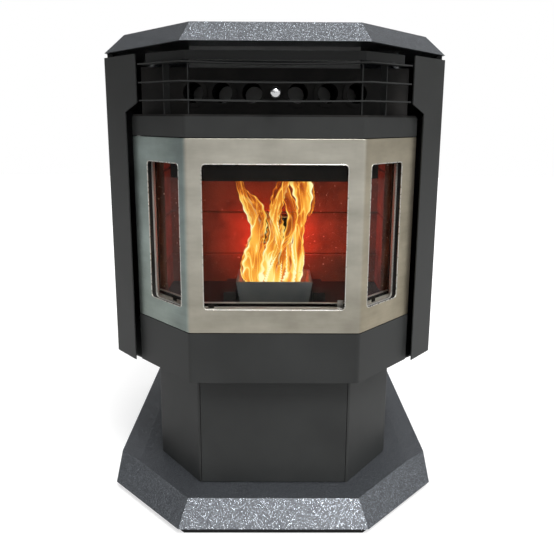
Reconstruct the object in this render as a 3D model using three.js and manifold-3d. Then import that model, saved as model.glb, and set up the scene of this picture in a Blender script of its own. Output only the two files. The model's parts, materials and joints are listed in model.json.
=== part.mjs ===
// Free-standing pellet stove with a three-facet bay front.
// Millimetres, +Z up, front towards -Y. The origin is on the floor, at the middle of the base.
import * as THREE from 'three';
import { mergeVertices } from 'three/addons/utils/BufferGeometryUtils.js';
import { ConvexGeometry } from 'three/addons/geometries/ConvexGeometry.js';
import Module from 'manifold-3d';

const wasm = await Module();
wasm.setup();

// ---- driving dimensions -------------------------------------------------------------------
const fitGap = 0.3; // between pieces that touch
const cabinetHalf = 305; // half the width over the side panels

// plinth and base
const baseDepth = 686;
const plinthHeight = 12;
const plinthInset = 9;
const plinthWidth = 30;
const baseHeight = 41;
const baseFrontHalf = cabinetHalf - 140.2;
const baseCornerSetback = 158;
const baseBevelRun = 32;
const baseTopFrontHalf = cabinetHalf - 155;
const baseShoulderSetback = 220;
const baseFlatHalf = cabinetHalf - 45;
const baseShoulderDrop = 6;
const baseWall = 3;

// pedestal and ash drawer
const pedestalHeight = 207.7;
const pedestalFrontHalf = cabinetHalf - 171.2;
const pedestalSetback = 85.6;
const pedestalHalf = cabinetHalf - 82.8;
const pedestalCornerSetback = 208.8;
const pedestalBackSetback = 560;
const sheet = 2;
const ashPanDepth = 300;
const ashPanHeight = 120;
const ashPanSideGap = 8;
const drawerGap = 1;

// bay front: skirt, door and surround lie on one folded outline
const skirtHeight = 88.4;
const baySetback = 52;
const bayHalf = cabinetHalf - 161;
const bayAngle = THREE.MathUtils.degToRad(49.4);
const bayFacetLength = 162;
const bendRadius = 9;
const doorHeight = 322.2;
const doorGap = 1.5;
const surroundHeight = 32.4;

// fire door
const faceThickness = 2;
const frameThickness = 16;
const doorDepth = 30; // from the face to the front edge of the firebox
const gasketThickness = 3;
const gasketWidth = 8;
const glassThickness = 4;
const windowHalf = bayHalf - 25.5;
const windowBottom = 40.4;
const windowHeight = 241.5;
const windowRadius = 6.5;
const sideWindowInner = 20;
const sideWindowLength = 97;
const frameReveal = 3;
const hingePinRadius = 4;
const hingePinLength = 16;
const hingeInset = 12; // of the pin from the door's outer edge
const hingeDepth = 9; // of the pin behind the face
const hingePlate = 4;
const hingeEar = 14;
const hingeLeafHeight = 20;
const hingeCollarRadius = 6.5;
const frameInset = 1;
const ropeInset = 12.5;
const ropeWidth = 11;
const ropeDrop = 6;
const latchDepth = 8;
const latchRadius = 4;
const latchLength = 26;
const latchArmWidth = 7;
const latchReach = 16;
const latchHook = 14;
const latchOpenAngle = THREE.MathUtils.degToRad(80);
const keeperNear = 2.5;
const keeperFar = 7.5;
const keeperReach = 24;
const keeperLength = 8;
const keeperWeb = 3;
const keeperDrop = 6;
const keeperHeight = 16;
const leverNear = 1;
const leverThickness = 3;
const latchEnd = 7;

// side panels, back and floor
const sideBendSetback = 226;
const flangeAngle = THREE.MathUtils.degToRad(51.5);
const flangeLengthTop = 115.5;
const flangeLengthLow = 72.7;
const flangeStepLow = 452.3;
const flangeStepHeight = 17;
const sidePanelHeight = 546.2;
const bodyBackSetback = 636;
const floorThickness = 3;
const ventRows = 7;
const ventLow = 300; // of the lowest slot above the floor
const ventPitch = 22;
const ventHeight = 8;
const ventHalf = 70;
const ventMiddle = 110;
const ashOpeningHalf = 100;
const ashOpeningFront = 120;
const ashOpeningBack = 300;

// lid and hopper lid
const lidGap = 8.4;
const lidHeight = 29.2;
const lidFrontHalf = cabinetHalf - 163;
const lidSetback = 4;
const lidCornerSetback = 231;
const lidTopFrontHalf = cabinetHalf - 176.4;
const lidBevelRun = 24.5;
const lidTopHalf = cabinetHalf - 41;
const lidTopCornerSetback = 210;
const lidBackSetback = 650;
const lidWall = 4;
const hopperHalf = 165;
const hopperFrontSetback = 345;
const hopperBackSetback = 595;
const hopperLidThickness = 4;
const hopperLidLap = 14;
const hopperLidHandleHeight = 20;
const gripHalf = 55;
const gripRadius = 5;
const gripPostRadius = 4;
const gripPostInset = 10;
const gripInset = 26; // behind the lid's front edge
const hopperHingeRadius = 4;
const hopperHingeHalf = 140;
const hopperHingeLeaf = 16;
const hopperHingeLeafHeight = 2.7;

// louvre grille
const slatSetback = 44;
const slatHalf = cabinetHalf - 157;
const slatAngle = THREE.MathUtils.degToRad(44);
const slatFacetLength = 108;
const slatDepth = 16;
const slatThickness = 2;
const slatHeights = [23.9, 52.5, 81.7];
const slatSags = [1.5, 2, 3.2];
const railHeight = 14;
const ribThickness = 2;
const ribDepth = 12;
const ribInset = 11; // from the bend of the slats
const facetRib = 62; // along the slats' facet
const topFrameWidth = 10;
const topFrameHeight = 24;
const topFrameInset = 12;

// heat exchanger, scraper
const deckThickness = 3;
const exchangerSetback = 153;
const exchangerDepth = 150;
const exchangerHeight = 77;
const flueHalf = 195;
const flueMargin = 20;
const tubeEndProud = 6;
const tubeRadius = 19;
const tubeBore = 17.2;
const tubeCollarRadius = 24;
const tubeCollarThickness = 3;
const tubePlaces = [-139, -90, -39, 39, 90, 139];
const tubeHeight = 39.3;
const scraperRodHeight = 36.3;
const scraperRodRadius = 4;
const scraperEndGap = 8;
const scraperPlateMargin = 12;
const knobSocket = 5;
const scraperTravel = 80;
const scraperPlateThickness = 4;
const scraperClearance = 1.2;
const knobRadius = 9;
const knobLength = 20;
const knobSetback = 22;
const knobNeck = 3;
const knobSleeve = 1.6; // of the neck's wall round the rod
const guideClearance = 0.5;

// firebox
const fireboxWall = 3;
const fireboxFloor = 123.3;
const brickThickness = 24;
const brickCourse = 84;
const brickGroove = 2.5;
const brickFirstCourse = 55.7;
const brickTopGap = 8;
const sideBrickFrontSetback = 200;
const sideBrickTopGap = 19.4;
const lintelSetback = 103;
const lintelDrop = 105.4;
const lintelReturn = 45;
const lintelFacetLength = 120;
const sillHeight = 9;
const sillReturn = 18;
const sillFacetLength = 136;
const potHalf = 67.5;
const potSetback = 113;
const potDepth = 105;
const potHeight = 58;
const potRise = 37.2;
const potClearance = 2;
const potWall = 4;
const potTaper = 10;
const potHolderWall = 3;
const potHolderLug = 22;
const potHolderHeight = 17.7;
const potHolderInset = 4;
const airHoleRadius = 3;
const airHolePitch = 20;
const airHoleRowPitch = 22;
const igniterRadius = 6;
const igniterHeight = 9;
const igniterLength = 100;
const igniterCapRadius = 10;
const igniterCapLength = 14;

// feed: hopper, auger, chute
const hopperWall = 2;
const hopperStraight = 160;
const hopperOutletHalf = 28;
const hopperOutletFront = 440;
const hopperOutletBack = 505;
const hopperOutletHeight = 219.3;
const grateLevel = 790;
const grateThickness = 3;
const grateBar = 6;
const grateRim = 12;
const grateSlots = 12;
const augerAngle = THREE.MathUtils.degToRad(45);
const augerTubeRadius = 30;
const augerTubeWall = 2.5;
const augerTubeLength = 262;
const augerLowSetback = 524;
const augerLowHeight = 77;
const augerRadius = 25;
const augerShaftRadius = 8;
const augerPitch = 44;
const augerFlight = 2.5;
const augerEndPlay = 2;
const augerFootReach = 60;
const augerFootHalf = 12;
const augerFootDepth = 10;
const spoutSunk = 33;
const augerMotorRadius = 27;
const augerMotorLength = 46;
const augerMotorFlange = 4;
const chuteHalf = 36;
const chuteOverlap = 6;
const chuteReach = 5;
const chuteFall = 26;
const chuteMouth = 52;
const chuteWall = 2;
const chuteMargin = 8;

// blowers
const combustionX = -150;
const combustionSetback = 520;
const combustionHeight = 82;
const combustionRadius = 56;
const combustionWidth = 80;
const combustionReach = 92;
const exhaustRadius = 38;
const exhaustWall = 2;
const exhaustEndSetback = 684;
const collarFlange = 3;
const convectionX = 140;
const convectionSetback = 470;
const convectionHeight = 84;
const convectionRadius = 60;
const convectionWidth = 76;
const convectionReach = 100;
const convectionDuct = 60;
const voluteGrowth = 1.28;
const blowerWall = 2;
const wheelClearance = 6;
const wheelBlades = 12;
const wheelSideGap = 4;
const wheelDisc = 3;
const wheelRim = 12;
const bladeDepth = 10;
const bladeLean = 0.225; // radians from the blade's root to its tip
const bladeRoot = 0.045;
const bladeTip = 0.035;
const hubRadius = 11;
const hubLength = 13;
const blowerFootHalf = 20;
const motorFlange = 8;
const motorFlangeThickness = 3;
const shaftRadius = 4;
const shaftReach = 12;
const combustionMotorRadius = 32;
const convectionMotorRadius = 34;
const motorLength = 44;
const intakeRadius = 25;
const intakeX = 64;
const intakeFrontSetback = 330;
const intakeHeight = 62;
const intakeFootHalf = 8;
const intakeFootInset = 20;
const intakeFootDepth = 10;

// electrical
const controlSetback = 470;
const controlHeight = 330;
const controlLength = 110;
const controlWidth = 62;
const controlThickness = 8;
const controlBoxLap = 4;
const controlBoxDepth = 36;
const inletHalf = 14;
const inletX = cabinetHalf - 70;
const inletHeight = 70;
const inletDepth = 27;
const inletProud = 3;
const socketHalfWidth = 9;
const socketHalfHeight = 7;
const socketDepth = 17;
const pinPitch = 5;
const pinLength = 13;
const pinHalfHeight = 2;

// ---- levels and places worked out from them -------------------------------------------------
const backFrom = (setback) => setback - baseDepth / 2;
const baseTop = plinthHeight + baseHeight;
const bodyBottom = baseTop + pedestalHeight;
const doorBottom = bodyBottom + skirtHeight + doorGap;
const doorTop = doorBottom + doorHeight;
const surroundBottom = doorTop + doorGap;
const surroundTop = surroundBottom + surroundHeight;
const deckTop = surroundTop + deckThickness;
const sideTop = bodyBottom + sidePanelHeight;
const lidBottom = sideTop + lidGap;
const lidTop = lidBottom + lidHeight;
const floorTop = bodyBottom + floorThickness;
const fireFloor = bodyBottom + fireboxFloor;
const fireBack = backFrom(exchangerSetback + exchangerDepth);
const bodyBack = backFrom(bodyBackSetback);

// ---- materials ------------------------------------------------------------------------------
const paint = (color, roughness, metalness) =>
  new THREE.MeshStandardMaterial({ color, roughness, metalness });
const materials = {
  charcoal: paint(0x34363a, 0.5, 0.25),
  flake: paint(0x4a4f57, 0.42, 0.45),
  black: paint(0x141516, 0.6, 0.2),
  stainless: paint(0x9c9a90, 0.32, 0.95),
  glass: paint(0x2a2420, 0.08, 0),
  rope: paint(0xb8b4a8, 0.95, 0),
  brick: paint(0x6a3a2c, 0.9, 0),
  iron: paint(0x4b5054, 0.7, 0.4),
  steel: paint(0x8a8d90, 0.4, 0.85),
  chrome: paint(0xdfe2e6, 0.12, 1),
  plastic: paint(0x1c1d20, 0.45, 0),
};

// ---- solids ---------------------------------------------------------------------------------
// A closed three.js geometry as a solid that can be joined and cut.
function solid(geometry) {
  const plain = geometry.clone();
  plain.deleteAttribute('normal');
  plain.deleteAttribute('uv');
  const merged = mergeVertices(plain, 1e-3);
  return new wasm.Manifold(
    new wasm.Mesh({
      numProp: 3,
      vertProperties: merged.attributes.position.array,
      triVerts: new Uint32Array(merged.index.array),
    }),
  );
}

function surface(body) {
  const mesh = body.getMesh();
  const geometry = new THREE.BufferGeometry();
  geometry.setAttribute('position', new THREE.BufferAttribute(mesh.vertProperties, 3));
  geometry.setIndex(new THREE.BufferAttribute(mesh.triVerts, 1));
  const faceted = geometry.toNonIndexed();
  faceted.computeVertexNormals();
  return faceted;
}

const cut = (body, ...tools) => tools.reduce((left, tool) => left.subtract(tool), body);
const join = (...bodies) => bodies.reduce((all, body) => all.add(body));

function extruded(outline, depth, basis, offset) {
  const shape = new THREE.Shape(outline.map(([u, v]) => new THREE.Vector2(u, v)));
  const geometry = new THREE.ExtrudeGeometry(shape, { depth, bevelEnabled: false });
  geometry.translate(0, 0, offset);
  return solid(geometry.applyMatrix4(basis));
}

const axisX = new THREE.Vector3(1, 0, 0);
const axisY = new THREE.Vector3(0, 1, 0);
const axisZ = new THREE.Vector3(0, 0, 1);
const basisOf = (u, v, w) => new THREE.Matrix4().makeBasis(u, v, w);

// An outline in X and Y, carried up from one height to another.
const upright = (outline, low, high) =>
  extruded(outline, high - low, new THREE.Matrix4(), low);

// An outline in Y and Z, carried across in X.
const across = (outline, left, right) =>
  extruded(outline, right - left, basisOf(axisY, axisZ, axisX), left);

// An outline in X and Z, carried back in Y.
const backward = (outline, front, back) =>
  extruded(outline, back - front, basisOf(axisX, axisZ, axisY.clone().negate()), -back);

const rectangle = (left, right, low, high) => [
  [left, low],
  [right, low],
  [right, high],
  [left, high],
];

const block = (left, right, front, back, low, high) =>
  upright(rectangle(left, right, front, back), low, high);

function roundedRectangle(left, right, low, high, radius, steps = 4) {
  const centres = [
    [right - radius, low + radius, -Math.PI / 2],
    [right - radius, high - radius, 0],
    [left + radius, high - radius, Math.PI / 2],
    [left + radius, low + radius, Math.PI],
  ];
  return centres.flatMap(([x, y, start]) =>
    Array.from({ length: steps + 1 }, (_, i) => {
      const angle = start + (i / steps) * (Math.PI / 2);
      return [x + radius * Math.cos(angle), y + radius * Math.sin(angle)];
    }),
  );
}

function rod(start, direction, radius, length, sides = 24) {
  const along = direction.clone().normalize();
  const geometry = new THREE.CylinderGeometry(radius, radius, length, sides);
  geometry.applyQuaternion(new THREE.Quaternion().setFromUnitVectors(axisY, along));
  const middle = start.clone().addScaledVector(along, length / 2);
  return solid(geometry.translate(middle.x, middle.y, middle.z));
}

function pipe(start, direction, radius, bore, length, sides = 28) {
  const early = start.clone().addScaledVector(direction.clone().normalize(), -1);
  return cut(rod(start, direction, radius, length, sides), rod(early, direction, bore, length + 2, sides));
}

function revolved(profile, start, direction, sides = 24) {
  const points = profile.map(([radius, along]) => new THREE.Vector2(radius, along));
  const geometry = new THREE.LatheGeometry(points, sides);
  geometry.applyQuaternion(
    new THREE.Quaternion().setFromUnitVectors(axisY, direction.clone().normalize()),
  );
  return solid(geometry.translate(start.x, start.y, start.z));
}

// A solid between outlines of equally many points, one above the other.
function lofted(sections) {
  const count = sections[0].length;
  const positions = [];
  const corner = (k, i) => positions.push(...sections[k][i % count]);
  for (let k = 0; k + 1 < sections.length; k += 1) {
    for (let i = 0; i < count; i += 1) {
      corner(k, i);
      corner(k, i + 1);
      corner(k + 1, i + 1);
      corner(k, i);
      corner(k + 1, i + 1);
      corner(k + 1, i);
    }
  }
  const last = sections.length - 1;
  const flat = sections[0].map(([x, y]) => new THREE.Vector2(x, y));
  for (const [a, b, c] of THREE.ShapeUtils.triangulateShape(flat, [])) {
    [a, c, b].forEach((i) => corner(0, i));
    [a, b, c].forEach((i) => corner(last, i));
  }
  const geometry = new THREE.BufferGeometry();
  geometry.setAttribute('position', new THREE.Float32BufferAttribute(positions, 3));
  return solid(geometry);
}

// ---- folded sheet metal ---------------------------------------------------------------------
// Inner corners of an open line become arcs of the bend's radius.
function bent(line, radius, steps = 3) {
  const out = [line[0]];
  for (let i = 1; i + 1 < line.length; i += 1) {
    const here = new THREE.Vector2(...line[i]);
    const before = new THREE.Vector2(...line[i - 1]).sub(here).normalize();
    const after = new THREE.Vector2(...line[i + 1]).sub(here).normalize();
    const half = Math.acos(THREE.MathUtils.clamp(before.dot(after), -1, 1)) / 2;
    const reach = radius / Math.tan(half);
    const from = here.clone().addScaledVector(before, reach);
    const to = here.clone().addScaledVector(after, reach);
    for (let k = 0; k <= steps; k += 1) {
      const t = k / steps;
      const a = from.clone().lerp(here, t);
      const b = here.clone().lerp(to, t);
      const point = a.lerp(b, t);
      out.push([point.x, point.y]);
    }
  }
  out.push(line[line.length - 1]);
  return out;
}

// The line moved sideways, to the left of its direction of travel.
function offsetLine(line, distance) {
  const normals = line.slice(1).map(([x, y], i) => {
    const [px, py] = line[i];
    return new THREE.Vector2(-(y - py), x - px).normalize();
  });
  return line.map(([x, y], i) => {
    const first = normals[Math.max(i - 1, 0)];
    const second = normals[Math.min(i, normals.length - 1)];
    const mitre = first.clone().add(second);
    const scale = (2 * distance) / mitre.lengthSq();
    return [x + mitre.x * scale, y + mitre.y * scale];
  });
}

// A band between two offsets of one line.
function band(line, near, far) {
  const front = offsetLine(line, near);
  const rear = offsetLine(line, far);
  return [...front, ...rear.reverse()];
}

const foldedSheet = (line, near, far, low, high) => upright(band(line, near, far), low, high);

// The bay outline, left to right, at a given setback from the base's front edge.
function bayLine(half, setback, angle, length) {
  const outX = half + length * Math.cos(angle);
  const outY = backFrom(setback) + length * Math.sin(angle);
  const frontY = backFrom(setback);
  return [
    [-outX, outY],
    [-half, frontY],
    [half, frontY],
    [outX, outY],
  ];
}

const doorLine = bayLine(bayHalf, baySetback, bayAngle, bayFacetLength);
const softDoorLine = bent(doorLine, bendRadius);

// The three faces of the bay. u runs left to right along a face, depth runs in from it.
function bayFace(side) {
  const [start, end] = { left: [0, 1], centre: [1, 2], right: [2, 3] }[side].map((i) => doorLine[i]);
  const u = new THREE.Vector3(end[0] - start[0], end[1] - start[1], 0).normalize();
  const out = new THREE.Vector3().crossVectors(u, axisZ);
  return basisOf(u, axisZ, out).setPosition(start[0], start[1], 0);
}

const onFace = (side, outline, near, far) =>
  extruded(outline, far - near, bayFace(side), -far);

// Left and right limits of each window along its face.
function windowSpan(side) {
  if (side === 'centre') return [bayHalf - windowHalf, bayHalf + windowHalf];
  const inner = side === 'left' ? bayFacetLength - sideWindowInner - sideWindowLength : sideWindowInner;
  return [inner, inner + sideWindowLength];
}

function windowPrism(side, grow, near, far) {
  const [left, right] = windowSpan(side);
  const low = doorBottom + windowBottom;
  const outline = roundedRectangle(
    left - grow,
    right + grow,
    low - grow,
    low + windowHeight + grow,
    windowRadius + grow,
  );
  return onFace(side, outline, near, far);
}

// ---- the assembly ---------------------------------------------------------------------------
const stove = new THREE.Group();

function place(name, body, material) {
  const mesh = new THREE.Mesh(surface(body), materials[material]);
  mesh.name = name;
  stove.add(mesh);
}

// ---- base and pedestal ----------------------------------------------------------------------
function basePlinth() {
  const half = cabinetHalf - plinthInset;
  const inset = (setback) => backFrom(setback + plinthInset);
  const outer = [
    [-baseFrontHalf + plinthInset, inset(0)],
    [baseFrontHalf - plinthInset, inset(0)],
    [half, inset(baseCornerSetback)],
    [half, baseDepth / 2 - plinthInset],
    [-half, baseDepth / 2 - plinthInset],
    [-half, inset(baseCornerSetback)],
  ];
  const inner = offsetLine([...outer, outer[0], outer[1]], plinthWidth).slice(1, 7);
  return cut(upright(outer, 0, plinthHeight), upright(inner, -1, plinthHeight + 1));
}

// Bevelled pressing: rim, raised flat top and gently falling side strips.
function baseHull(inset) {
  const low = plinthHeight + fitGap;
  const half = cabinetHalf - inset;
  const back = baseDepth / 2 - inset;
  const slope = (baseShoulderSetback - baseBevelRun) / (cabinetHalf - baseTopFrontHalf);
  const flatSetback = baseBevelRun + (baseFlatHalf - baseTopFrontHalf) * slope;
  const mirrored = (x, y, z) => [new THREE.Vector3(x, y, z), new THREE.Vector3(-x, y, z)];
  const points = [
    ...mirrored(baseFrontHalf - inset, backFrom(inset), low - inset),
    ...mirrored(half, backFrom(baseCornerSetback + inset), low - inset),
    ...mirrored(half, back, low - inset),
    ...mirrored(half, backFrom(baseShoulderSetback + inset), baseTop - baseShoulderDrop - inset),
    ...mirrored(half, back, baseTop - baseShoulderDrop - inset),
    ...mirrored(baseTopFrontHalf, backFrom(baseBevelRun + inset), baseTop - inset),
    ...mirrored(baseFlatHalf, backFrom(flatSetback + inset), baseTop - inset),
    ...mirrored(baseFlatHalf, back, baseTop - inset),
  ];
  return solid(new ConvexGeometry(points));
}

function pedestalLine() {
  return [
    [-pedestalHalf, backFrom(pedestalBackSetback)],
    [-pedestalHalf, backFrom(pedestalCornerSetback)],
    [-pedestalFrontHalf, backFrom(pedestalSetback)],
    [pedestalFrontHalf, backFrom(pedestalSetback)],
    [pedestalHalf, backFrom(pedestalCornerSetback)],
    [pedestalHalf, backFrom(pedestalBackSetback)],
  ];
}

// Side and facet covers with a rear wall, open at the front for the ash drawer.
function pedestalShell() {
  const line = pedestalLine();
  const low = baseTop + fitGap;
  const high = bodyBottom - fitGap;
  const cover = foldedSheet(bent(line, bendRadius), 0, sheet, low, high);
  const rear = backFrom(pedestalBackSetback);
  const back = block(-pedestalHalf, pedestalHalf, rear - sheet, rear, low, high);
  const mouth = block(
    -pedestalFrontHalf + sheet,
    pedestalFrontHalf - sheet,
    backFrom(pedestalSetback) - 5,
    backFrom(pedestalSetback) + sheet + 1,
    low - 1,
    high + 1,
  );
  return cut(join(cover, back), mouth);
}

// Front panel that closes the pedestal, carrying the ash pan behind it.
function ashDrawer() {
  const front = backFrom(pedestalSetback);
  const half = pedestalFrontHalf - sheet - drawerGap;
  const low = baseTop + fitGap + drawerGap;
  const panel = block(-half, half, front, front + sheet, low, bodyBottom - fitGap - drawerGap);
  const panHalf = half - ashPanSideGap;
  const rear = front + ashPanDepth;
  const pan = block(-panHalf, panHalf, front, rear, low, low + ashPanHeight);
  const hollow = block(
    -panHalf + sheet,
    panHalf - sheet,
    front + sheet,
    rear - sheet,
    low + sheet,
    low + ashPanHeight + 1,
  );
  return cut(join(panel, pan), hollow);
}

place('base_plinth', basePlinth(), 'black');
place('base_plate', cut(baseHull(0), baseHull(baseWall)), 'flake');
place('pedestal_shell', pedestalShell(), 'charcoal');
place('ash_drawer', ashDrawer(), 'charcoal');

// ---- body panels ----------------------------------------------------------------------------
const controlFront = backFrom(controlSetback);
const controlLow = floorTop + controlHeight;

const controlCutout = (grow) =>
  block(
    cabinetHalf - sheet - 5,
    cabinetHalf + 5,
    controlFront - grow,
    controlFront + controlWidth + grow,
    controlLow - grow,
    controlLow + controlLength + grow,
  );

function bodyFloor() {
  const skirt = offsetLine(softDoorLine, sheet + fitGap);
  const half = cabinetHalf - sheet - fitGap;
  const side = backFrom(sideBendSetback);
  const rear = bodyBack - sheet - fitGap;
  const outline = [...skirt, [half, side + 4], [half, rear], [-half, rear], [-half, side + 4]];
  const ashOpening = block(
    -ashOpeningHalf,
    ashOpeningHalf,
    backFrom(ashOpeningFront),
    backFrom(ashOpeningBack),
    bodyBottom - 1,
    floorTop + 1,
  );
  return cut(upright(outline, bodyBottom, floorTop), ashOpening);
}

place('body_floor', bodyFloor(), 'charcoal');
place('skirt_panel', foldedSheet(softDoorLine, 0, sheet, bodyBottom, doorBottom - doorGap), 'charcoal');
place('surround_panel', foldedSheet(softDoorLine, 0, sheet, surroundBottom, surroundTop), 'charcoal');

// Tall side panel whose front flange steps back beside the door.
function sidePanel(side) {
  const bendY = backFrom(sideBendSetback);
  const flange = [
    cabinetHalf - flangeLengthTop * Math.cos(flangeAngle),
    bendY - flangeLengthTop * Math.sin(flangeAngle),
  ];
  const line = [flange, [cabinetHalf, bendY], [cabinetHalf, bodyBack]];
  const panel = foldedSheet(bent(line, bendRadius), 0, sheet, bodyBottom, sideTop);
  const along = new THREE.Vector3(Math.cos(flangeAngle), Math.sin(flangeAngle), 0);
  const out = new THREE.Vector3().crossVectors(along, axisZ);
  const face = basisOf(along, axisZ, out).setPosition(flange[0], flange[1], 0);
  const step = flangeLengthTop - flangeLengthLow;
  const stepZ = bodyBottom + flangeStepLow;
  const notch = [
    [-5, bodyBottom - 5],
    [step, bodyBottom - 5],
    [step, stepZ],
    [-5, stepZ + flangeStepHeight],
  ];
  const body = cut(panel, extruded(notch, 4 * sheet, face, -3 * sheet));
  return side > 0 ? cut(body, controlCutout(fitGap)) : mirroredAcross(body);
}

function mirroredAcross(body) {
  const geometry = surface(body);
  geometry.scale(-1, 1, 1);
  const index = Array.from({ length: geometry.attributes.position.count }, (_, i) =>
    i % 3 === 0 ? i : i + (i % 3 === 1 ? 1 : -1),
  );
  geometry.setIndex(index);
  return solid(geometry.toNonIndexed());
}

place('side_panel_left', sidePanel(-1), 'charcoal');
place('side_panel_right', sidePanel(1), 'charcoal');

// Rear cover with ventilation slots and holes for what passes through it.
function backPanel() {
  const half = cabinetHalf - sheet - fitGap;
  const front = bodyBack - sheet;
  const panel = block(-half, half, front, bodyBack, bodyBottom, sideTop);
  const slots = [];
  for (let row = 0; row < ventRows; row += 1) {
    for (const middle of [-ventMiddle, ventMiddle]) {
      const low = floorTop + ventLow + row * ventPitch;
      const radius = ventHeight / 2 - 0.1;
      const [left, right] = [middle - ventHalf, middle + ventHalf];
      const slot = roundedRectangle(left, right, low, low + ventHeight, radius, 1);
      slots.push(backward(slot, front - 1, bodyBack + 1));
    }
  }
  const through = (x, height, radius) =>
    rod(new THREE.Vector3(x, front - 1, floorTop + height), axisY, radius, sheet + 2, 28);
  const flue = through(combustionX, exhaustHeight(), exhaustRadius + fitGap);
  const air = through(intakeX, intakeHeight, intakeRadius + fitGap);
  const inlet = block(
    inletX - inletHalf,
    inletX + inletHalf,
    front - 1,
    bodyBack + 1,
    floorTop + inletHeight - inletHalf,
    floorTop + inletHeight + inletHalf,
  );
  return cut(panel, ...slots, flue, air, inlet);
}

// The exhaust leaves on the centre line of the combustion blower's outlet.
function exhaustHeight() {
  return combustionHeight + combustionRadius * voluteGrowth - exhaustRadius - blowerWall;
}

place('back_panel', backPanel(), 'black');

// ---- lid ------------------------------------------------------------------------------------
function lidHull(inset) {
  const mirrored = (x, y, z) => [new THREE.Vector3(x, y, z), new THREE.Vector3(-x, y, z)];
  const low = lidBottom - inset;
  const high = lidTop - inset;
  const rear = backFrom(lidBackSetback) - inset;
  const points = [
    ...mirrored(lidFrontHalf - inset, backFrom(lidSetback + inset), low),
    ...mirrored(cabinetHalf - inset, backFrom(lidCornerSetback + inset), low),
    ...mirrored(cabinetHalf - inset, rear, low),
    ...mirrored(lidTopFrontHalf - inset, backFrom(lidSetback + lidBevelRun + inset), high),
    ...mirrored(lidTopHalf - inset, backFrom(lidTopCornerSetback + inset), high),
    ...mirrored(lidTopHalf - inset, rear, high),
  ];
  return solid(new ConvexGeometry(points));
}

function topPlate() {
  const hopperMouth = block(
    -hopperHalf,
    hopperHalf,
    backFrom(hopperFrontSetback),
    backFrom(hopperBackSetback),
    lidBottom - 5,
    lidTop + 5,
  );
  return cut(lidHull(0), lidHull(lidWall), hopperMouth);
}

const hopperHingeY = backFrom(hopperBackSetback + hopperLidLap) + hopperHingeRadius + 1;

// Flat lid over the hopper mouth with a bar handle near its front edge.
function hopperLid() {
  const half = hopperHalf + hopperLidLap;
  const front = backFrom(hopperFrontSetback - hopperLidLap);
  const back = backFrom(hopperBackSetback + hopperLidLap);
  const low = lidTop + fitGap;
  const plate = block(-half, half, front, back, low, low + hopperLidThickness);
  const gripY = front + gripInset;
  const top = low + hopperLidThickness;
  const gripZ = top + hopperLidHandleHeight - gripRadius;
  const bar = rod(new THREE.Vector3(-gripHalf, gripY, gripZ), axisX, gripRadius, 2 * gripHalf, 16);
  const post = (x) => rod(new THREE.Vector3(x, gripY, top - 1), axisZ, gripPostRadius, gripZ - top + 1, 12);
  return join(plate, bar, post(gripHalf - gripPostInset), post(gripPostInset - gripHalf));
}

// Long hinge behind the hopper lid, on a foot that is screwed to the top plate.
function hopperHinge() {
  const y = hopperHingeY;
  const z = lidTop + hopperHingeRadius + fitGap;
  const low = lidTop + fitGap;
  const length = 2 * hopperHingeHalf;
  const knuckle = rod(new THREE.Vector3(-hopperHingeHalf, y, z), axisX, hopperHingeRadius, length, 16);
  const foot = block(-hopperHingeHalf, hopperHingeHalf, y, y + hopperHingeLeaf, low, low + hopperHingeLeafHeight);
  return join(knuckle, foot);
}

place('top_plate', topPlate(), 'flake');
place('hopper_lid', hopperLid(), 'flake');
place('hopper_hinge', hopperHinge(), 'black');

// ---- louvre grille --------------------------------------------------------------------------
const slatLine = bayLine(slatHalf, slatSetback, slatAngle, slatFacetLength);

// The line with its middle stretch divided, so that the slat can sag between its ribs.
function dividedLine(line, pieces) {
  const [start, left, right, end] = line;
  const middle = Array.from({ length: pieces + 1 }, (_, i) => [
    left[0] + ((right[0] - left[0]) * i) / pieces,
    left[1],
  ]);
  return [start, ...middle, end];
}

function louvreSlat(height, sag) {
  const low = surroundTop + height;
  const flat = upright(band(dividedLine(slatLine, 8), 0, slatDepth), low, low + slatThickness);
  const geometry = surface(flat);
  const position = geometry.attributes.position;
  for (let i = 0; i < position.count; i += 1) {
    const share = Math.min(Math.abs(position.getX(i)) / slatHalf, 1);
    position.setZ(i, position.getZ(i) - sag * (1 - share * share));
  }
  return solid(geometry);
}

// Upright ribs behind the slats, joined by the top rail; they stand on the deck.
function louvreFrame() {
  const near = slatDepth + fitGap;
  const rail = foldedSheet(slatLine, near, near + ribThickness, sideTop - railHeight, sideTop);
  const low = deckTop + fitGap;
  const ribs = [ribInset - slatHalf, slatHalf - ribInset].map((x) => {
    const front = backFrom(slatSetback) + near;
    return block(x - ribThickness / 2, x + ribThickness / 2, front, front + ribDepth, low, sideTop);
  });
  const out = new THREE.Vector3(Math.sin(slatAngle), -Math.cos(slatAngle), 0);
  const along = new THREE.Vector3(Math.cos(slatAngle), Math.sin(slatAngle), 0);
  const face = basisOf(along, axisZ, out).setPosition(slatHalf, backFrom(slatSetback), 0);
  const outline = rectangle(facetRib - ribThickness / 2, facetRib + ribThickness / 2, low, sideTop);
  const facet = extruded(outline, ribDepth, face, -near - ribDepth);
  return join(rail, ...ribs, facet, mirroredAcross(facet));
}

['low', 'mid', 'top'].forEach((name, i) => {
  place(`louvre_slat_${name}`, louvreSlat(slatHeights[i], slatSags[i]), 'charcoal');
});
place('louvre_frame', louvreFrame(), 'charcoal');

// Rails inside the side panels and along the back that carry the lid's rim.
function topFrame() {
  const outer = cabinetHalf - sheet - fitGap;
  const front = backFrom(lidCornerSetback + topFrameInset);
  const back = bodyBack - sheet - fitGap;
  const low = sideTop - topFrameHeight;
  const high = lidBottom - fitGap;
  const side = (x) => block(x - topFrameWidth / 2, x + topFrameWidth / 2, front, back, low, high);
  const middle = outer - topFrameWidth / 2;
  const rear = block(-outer, outer, back - topFrameWidth, back, low, high);
  return join(side(middle), side(-middle), rear);
}

place('top_frame', topFrame(), 'black');

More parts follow.
